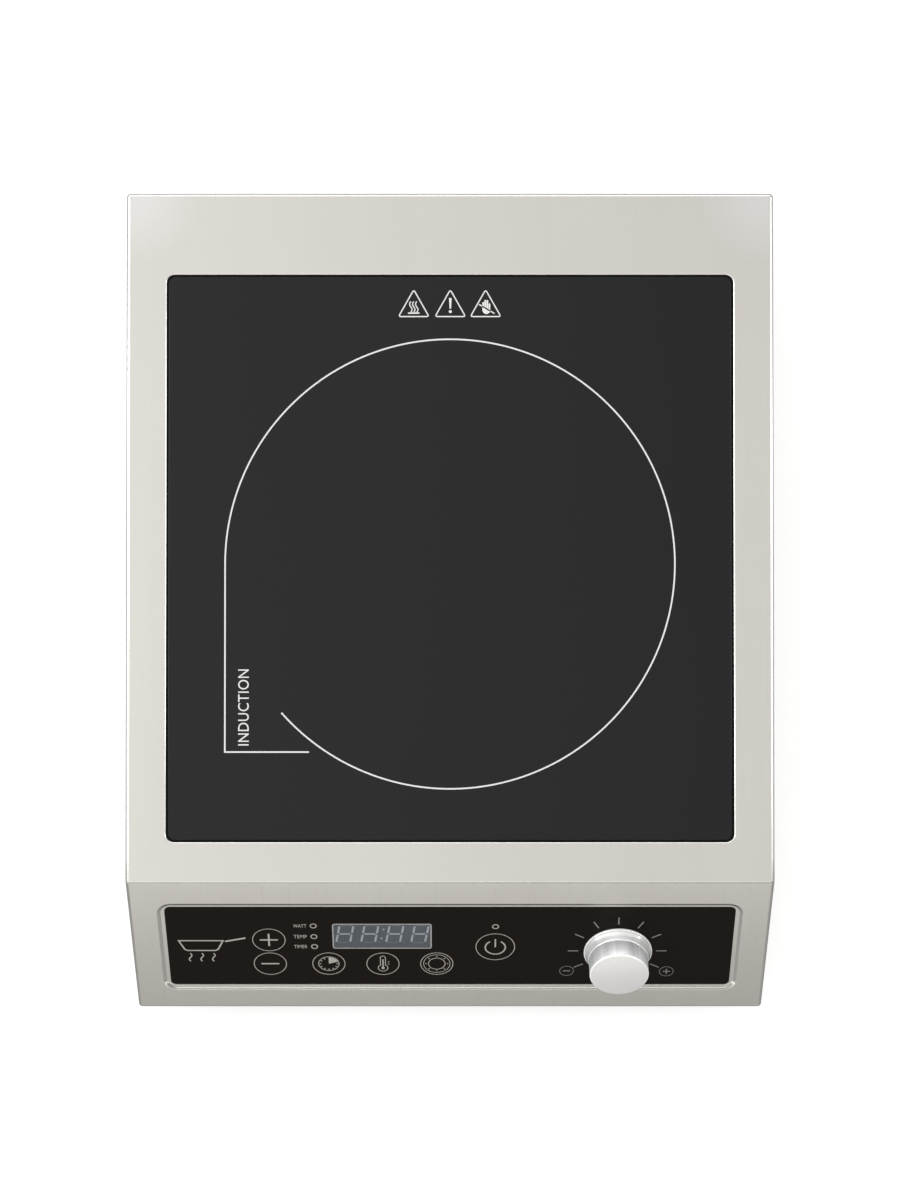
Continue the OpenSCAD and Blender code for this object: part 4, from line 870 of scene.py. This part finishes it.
def makeRearPanel(s):
    bm = bmesh.new()
    upright = Matrix.Translation((0, s["face"], 0)) @ Matrix.Rotation(math.radians(90), 4, "X")
    edges = roundedLoop(bm, s["width"], s["height"], 1.5, upright @ Matrix.Translation((0, s["middle"], 0)), 4)
    width, height = s["slot"]
    middle, up = s["slotMiddle"]
    for i in range(s["slots"]):
        place = upright @ Matrix.Translation((middle + (i - (s["slots"] - 1) / 2) * s["pitch"], up, 0))
        edges += roundedLoop(bm, width, height, width * 0.49, place, 5)
    x, z, radius = s["bush"]
    edges += circleLoop(bm, radius, upright @ Matrix.Translation((x, z, 0)), 48)
    for x, z in s["screws"]:
        edges += circleLoop(bm, s["screwHole"], upright @ Matrix.Translation((x, z, 0)), 20)
    fillFlat(bm, edges, (0, 1, 0))
    for face in bm.faces:
        if face.normal.y < 0:
            face.normal_flip()
    piece = finishPiece("rearPanelSheet", bm, toMetres, "casing", "satin_steel", modifiers=[
        ("SOLIDIFY", "sheet", {"thickness": s["sheet"] * 0.001, "offset": -1, "use_even_offset": True})])
    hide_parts("rear_panel")


makeRearPanel(rearPanel)
print("rear panel made")

glass = {"side": 284, "corner": 3.2, "thick": 3.93, "bottom": -4, "middle": 163.5, "edge": 0.3,
         "seal": [  # side, corner, height
             (285.9, 3.95, -0.55), (283.6, 3, -0.55), (283.6, 3, -3.9), (285.9, 3.95, -3.9)],
         "ink": (-0.07, 0.05),  # height, thickness
         "circle": (0, 160.6), "radius": 113.4, "line": 0.78, "arcEnd": -138.5,
         "foot": [(-71, 65.7), (-113.4, 65.7)], "word": (-123.2, 85.4, -84.9, 90.9),
         "signs": [-18.3, 0.15, 18], "signFoot": 285.2, "signHalf": 8.2, "signTall": 14.5, "signLine": 0.6,
         "signCorner": 1.7}


def drawSigns(art, s):  # small triangle signs: heat, attention, keep hands off
    base = s["signFoot"]
    heat, attention, hands = s["signs"]
    for x in s["signs"]:
        corners = [(x - s["signHalf"], base), (x + s["signHalf"], base), (x, base + s["signTall"])]
        outline(art, corners, s["signLine"], s["signCorner"])
    for k in (-1.5, 0, 1.5):
        wave(art, (heat + k, base + 2.45), 5.5, 0.62, 0.55)
    bar(art, (heat, base + 2.05), 5.9, 0.7, radius=0.25)
    mark = [(-0.38, 4.3), (0.38, 4.3), (0.66, 9.7), (-0.66, 9.7)]
    patch(art, [(attention + x, base + y) for x, y in mark])
    disc(art, (attention, base + 2.8), 0.78, 16)

    def slash(across, side):  # the height of the crossing bar's edges
        return 4.5 - 0.59 * across + side

    for k, tall in ((-1.25, 7.7), (-0.2, 8.8), (0.85, 8.7), (1.9, 7)):
        left, right = k - 0.44, k + 0.44
        finger = [(left, slash(left, 0.4)), (right, slash(right, 0.4)), (right, tall - 0.35), (k + 0.15, tall),
                  (k - 0.15, tall), (left, tall - 0.35)]
        patch(art, [(hands + x, base + y) for x, y in finger])
    palm = [(2.34, slash(2.34, -0.4)), (-1.7, slash(-1.7, -0.4)), (-1.65, 3.3), (-1.1, 2.2), (-0.2, 1.6), (0.8, 1.6),
            (1.7, 2.1)]
    patch(art, [(hands + x, base + y) for x, y in palm])
    for start, end in ((-3.2, -1.95), (2.6, 4.35)):
        stroke(art, (hands + start, base + slash(start, 0)), (hands + end, base + slash(end, 0)), s["signLine"])


def makeGlass(s):
    bm = roundedPlate(s["side"], s["side"], s["corner"], s["thick"], s["edge"])
    place = onTop @ Matrix.Translation((0, s["middle"], s["bottom"]))
    piece = finishPiece("glassTop", bm, place, "casing", "black_glass", sharp=60, modifiers=cleanShade)
    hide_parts("glass_plate")
    # black silicone pressed into the gap round it
    seal = bmesh.new()
    bridgeAll(seal, [roundedLoop(seal, side, side, corner, Matrix.Translation((0, 0, height)))
                     for side, corner, height in s["seal"]], True)
    bmesh.ops.recalc_face_normals(seal, faces=seal.faces)
    finishPiece("glassSealBead", seal, onTop @ Matrix.Translation((0, s["middle"], 0)), "casing", "seal_silicone")
    # printed pan ring, with its corner and word
    art = bmesh.new()
    ribbon(art, s["foot"] + arc(s["circle"], s["radius"], 180, s["arcEnd"], 180), s["line"])
    words(art, "INDUCTION", s["word"], 90)
    drawSigns(art, s)
    height, thickness = s["ink"]
    printed("glassPrint", art, onTop, height, "casing", "black_glass", topInk, thickness)


makeGlass(glass)
print("glass made")

overlay = {"width": 290.7, "length": 59, "corner": 3, "thick": 0.3, "middle": -49, "shift": 0.58, "floor": -0.87,
           "edge": 0.1, "plus": (-93, -44), "minus": (-93, -62.3), "timer": (-62.7, -62.3), "heat": (-34.7, -62.4),
           "power": (-6.85, -62.3), "key": 8.35, "thin": 0.38, "bold": 0.95, "sign": 9.3,
           "switch": (23.3, -49.3), "switchKey": 9.95,
           "lamps": [(-69.9, -33.4), (-69.8, -41.5), (-69.7, -49.1), (23.3, -33.9)], "lamp": 1.5,
           "labels": [("WATT", -33.4), ("TEMP", -41.5), ("TIMER", -49.1)],
           "labelSpan": (-80.2, -73.4), "labelHalf": 1.25,
           "pan": [(-139.4, -44.6), (-136.6, -51.2), (-135.2, -52.1), (-120.8, -52.1), (-119.4, -51.2),
                   (-116.6, -44.6)],
           "panHandle": [(-115.3, -45.1), (-105.2, -42.6)], "panHeat": (-128, -60.4),
           "display": (-34.85, -41.2, 50.9, 18.9), "digits": [-53.9, -41.1, -28.3, -15.4], "colon": -34.6,
           "digitHigh": 1.75, "digitHalf": (3.55, 6.5), "segment": 0.95, "lean": 9,
           "scaleCentre": (86.15, -52.4), "scaleRadii": (20.2, 25.3), "scaleMinus": (60.5, -67.9),
           "scalePlus": (112.3, -68.3), "scaleKey": 3.6, "scaleSign": 3.9}


def drawPictures(art, s):  # what stands inside the touch keys
    plus(art, s["plus"], s["sign"], s["bold"])
    bar(art, s["minus"], s["sign"], s["bold"])
    # timer: a small clock face with a filled quarter
    timer = s["timer"]
    ring(art, timer, 5.3, s["thin"])
    for k in range(3, 12):
        stroke(art, onCircle(timer, 4, 90 - 30 * k), onCircle(timer, 4.8, 90 - 30 * k), 0.5)
    ring(art, timer, 2.5, 4.9, 90, -72, 60)
    # thermometer with its degree marks
    x, y = s["heat"]
    tube = arc((x, y + 4.7), 1.3, 0, 180, 10) + arc((x, y - 3.2), 2.5, 121, 419, 30)
    ribbon(art, tube, 0.42, True)
    bar(art, (x, y + 0.55), 0.65, 5.8, radius=0.2)
    disc(art, (x, y - 3.2), 0.9, 24)
    for k in (0, 1, 2):
        bar(art, (x + 2.9, y + 1.7 - 1.1 * k), 0.9, 0.25)
    # power level dial: two rings and eight dots
    ring(art, s["power"], 6.85, 0.3)
    ring(art, s["power"], 4.3, s["thin"])
    for k in range(8):
        disc(art, onCircle(s["power"], 5.6, 90 - 45 * k), 0.36, 12)
    # switch: an open ring round a bar
    x, y = s["switch"]
    ring(art, (x, y - 0.45), 5.15, 0.75, 122, 296, 60)
    stroke(art, (x, y + 5.6), (x, y - 0.1), 0.75)


def drawDigits(clear, dim, s):  # four slanted digits of seven segments, their dots and the colon
    lean = math.tan(math.radians(s["lean"]))
    half, rise = s["digitHalf"]
    long, thin = 2 * half - 1.3, s["segment"]
    middle = s["display"][1] + s["digitHigh"]
    for x in s["digits"]:
        for side in (-half, half):
            for k in (-0.5, 0.5):
                bar(clear, (x + side + k * rise * lean, middle + k * rise), 1.05, rise - 1, -s["lean"], 0.45)
        bar(clear, (x, middle), long, thin, radius=0.42)
        for k in (-1, 1):
            bar(dim, (x + k * rise * lean, middle + k * rise), long, thin, radius=0.42)
        disc(dim, (x + 4.7, middle - rise + 0.3), 0.5, 12)
    for k in (-3.4, 3.4):
        disc(clear, (s["colon"] + k * lean, middle + k), 0.6, 12)


def makeOverlay(s):
    bm = roundedPlate(s["width"], s["length"], s["corner"], s["thick"], s["edge"])
    lay = onSlope @ Matrix.Translation((0, s["shift"], 0))
    place = lay @ Matrix.Translation((0, s["middle"], s["floor"]))
    piece = finishPiece("overlayFilm", bm, place, "casing", "overlay_film", sharp=60, modifiers=cleanShade)
    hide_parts("control_overlay")
    face = s["floor"] + s["thick"]
    art = bmesh.new()
    for key in ("plus", "minus", "timer", "heat", "power"):
        ring(art, s[key], s["key"], s["thin"])
    ring(art, s["switch"], s["switchKey"], s["thin"], steps=80)
    drawPictures(art, s)
    for centre in s["lamps"]:
        ring(art, centre, s["lamp"], 0.55, steps=32)
    left, right = s["labelSpan"]
    for text, y in s["labels"]:
        words(art, text, (left, y - s["labelHalf"], right, y + s["labelHalf"]))
    # plain picture of a pan over heat, at the left
    ribbon(art, s["pan"], 0.8, True)
    stroke(art, *s["panHandle"], 1.1)
    x, y = s["panHeat"]
    for k in (-6, 0, 6):
        wave(art, (x + k, y), 6.2, -0.75, 0.6)
    printed("panelMarks", art, lay, face + 0.005, "casing", "overlay_film", panelInk)
    # power scale round the knob
    fine = bmesh.new()
    for k in range(-4, 5):
        start, end = [onCircle(s["scaleCentre"], radius, 90 - 30 * k) for radius in s["scaleRadii"]]
        stroke(fine, start, end, 0.62)
    for centre in (s["scaleMinus"], s["scalePlus"]):
        ring(fine, centre, s["scaleKey"], 0.28, steps=40)
    bar(fine, s["scaleMinus"], s["scaleSign"], 0.6)
    plus(fine, s["scalePlus"], s["scaleSign"], 0.6)
    printed("panelFineMarks", fine, lay, face + 0.005, "casing", "overlay_film", panelInkSoft)
    # display window, its frame and its digits
    x, y, width, height = s["display"]
    pane = bmesh.new()
    plateFace(pane, width - 0.8, height - 0.8, 0.8, Matrix.Translation((x, y, 0)), 4)
    printed("displayPane", pane, lay, face + 0.004, "casing", "overlay_film", windowTint, 0.012)
    rim = bmesh.new()
    corners = [(x + i * width / 2, y + j * height / 2) for i, j in ((-1, -1), (1, -1), (1, 1), (-1, 1))]
    outline(rim, corners, 0.62, 1.3)
    printed("displayFrame", rim, lay, face + 0.018, "casing", "overlay_film", frameInk, 0.012)
    clear, dim = bmesh.new(), bmesh.new()
    drawDigits(clear, dim, s)
    printed("displayDigits", clear, lay, face + 0.018, "casing", "overlay_film", segmentInk, 0.01)
    printed("displayDimDigits", dim, lay, face + 0.018, "casing", "overlay_film", segmentDim, 0.01)


makeOverlay(overlay)
print("overlay and display made")

knob = {"skirt": [(13.65, -0.4), (17.6, -0.4), (17.6, 0.3), (17.3, 0.5), (17.08, 0.62), (17.08, 0.86), (16.95, 1.25),
                  (16.5, 2), (16.12, 3), (15.8, 4.2), (15.55, 5.2), (15.4, 5.6), (13.65, 5.6)],
        "wall": [(13.65, 5.6), (15.2, 5.6), (15.25, 5.75), (15.05, 14.8), (13.65, 14.8)],
        "cap": [(0, 14.8), (15.1, 14.8), (15.15, 15.2), (14.6, 15.8), (0, 15.8)], "steps": 128}


def makeKnob(s):
    skirt = lathe(s["skirt"], s["steps"], 0.1, 2, 35)
    piece = finishPiece("knobSkirtRing", skirt, knobPlace, "knob", "knob_chrome", sharp=40)
    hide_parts("knob_skirt")
    wall = lathe(s["wall"], s["steps"], 0.08, 2)
    piece = finishPiece("knobWall", wall, knobPlace, "knob", "knob_satin", knobTurned, sharp=40)
    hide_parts("knob_body")
    cap = lathe(s["cap"], s["steps"], 0.1, closed=False)
    piece = finishPiece("knobFace", cap, knobPlace, "knob", "knob_satin", sharp=25)
    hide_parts("knob_cap")


makeKnob(knob)
print("knob made")

foot = {"profile": [(2.1, 8), (2.1, 14), (15, 14), (15, 11), (14.3, 10.2), (14, 8.6), (12.8, 1.4), (11.4, 0), (10.2, 0),
                    (10, 0.5), (9.4, 0.5), (9.2, 0), (8.4, 0), (8.2, 0.5), (7.6, 0.5), (7.4, 0), (6.4, 0), (6, 0.4),
                    (6, 8)],
        "places": {"front_left": (-129.5, -179), "front_right": (129.5, -179),
                   "rear_left": (-129.5, 171), "rear_right": (129.5, 171)}}


def makeFeet(s):
    for corner, (x, y) in s["places"].items():
        bm = lathe(s["profile"], 64, 0.25, softenAbove=30)
        row, side = corner.split("_")
        place = toMetres @ Matrix.Translation((x, y, 0))
        piece = finishPiece(row + side.capitalize() + "Foot", bm, place, "casing", "foot_rubber")
        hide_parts("foot_" + corner)


makeFeet(foot)
print("feet made")

bush = {"place": (98, 204, 41.2),
        "profile": [(5.25, -14), (10, -14), (10, 0), (13.5, 0), (13.5, 2.2), (12.7, 3), (11.4, 3.2), (9.9, 4.2),
                    (8.3, 8.3), (7.6, 9), (6.4, 9), (5.25, 8)]}


def makeBush(s):
    bm = lathe(s["profile"], 96, 0.2, 2, 30)
    place = toMetres @ Matrix.Translation(s["place"]) @ Matrix.Rotation(math.radians(-90), 4, "X")
    piece = finishPiece("cableBushBody", bm, place, "casing", "black_nylon")
    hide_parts("cable_bush")


makeBush(bush)
print("cable bush made")

# the frame's own nodes, each with the finish of its slot
shown = frame["record"]["subparts"]
for part in shown:
    node = frame["nodes"][part["node"]]
    node.data.materials.clear()
    node.data.materials.append(finishes[part["material_slot"]])
print("frame nodes dressed:", len(shown))


def layFloor(s):
    bm = bmesh.new()
    bmesh.ops.create_grid(bm, x_segments=8, y_segments=8, size=s["floorReach"])
    mesh = bpy.data.meshes.new("studioFloor")
    bm.to_mesh(mesh)
    bm.free()
    mesh.materials.append(studioPaper(s))
    floor = bpy.data.objects.new("studioFloor", mesh)
    bpy.context.scene.collection.objects.link(floor)


layFloor(studio)
print("floor laid")
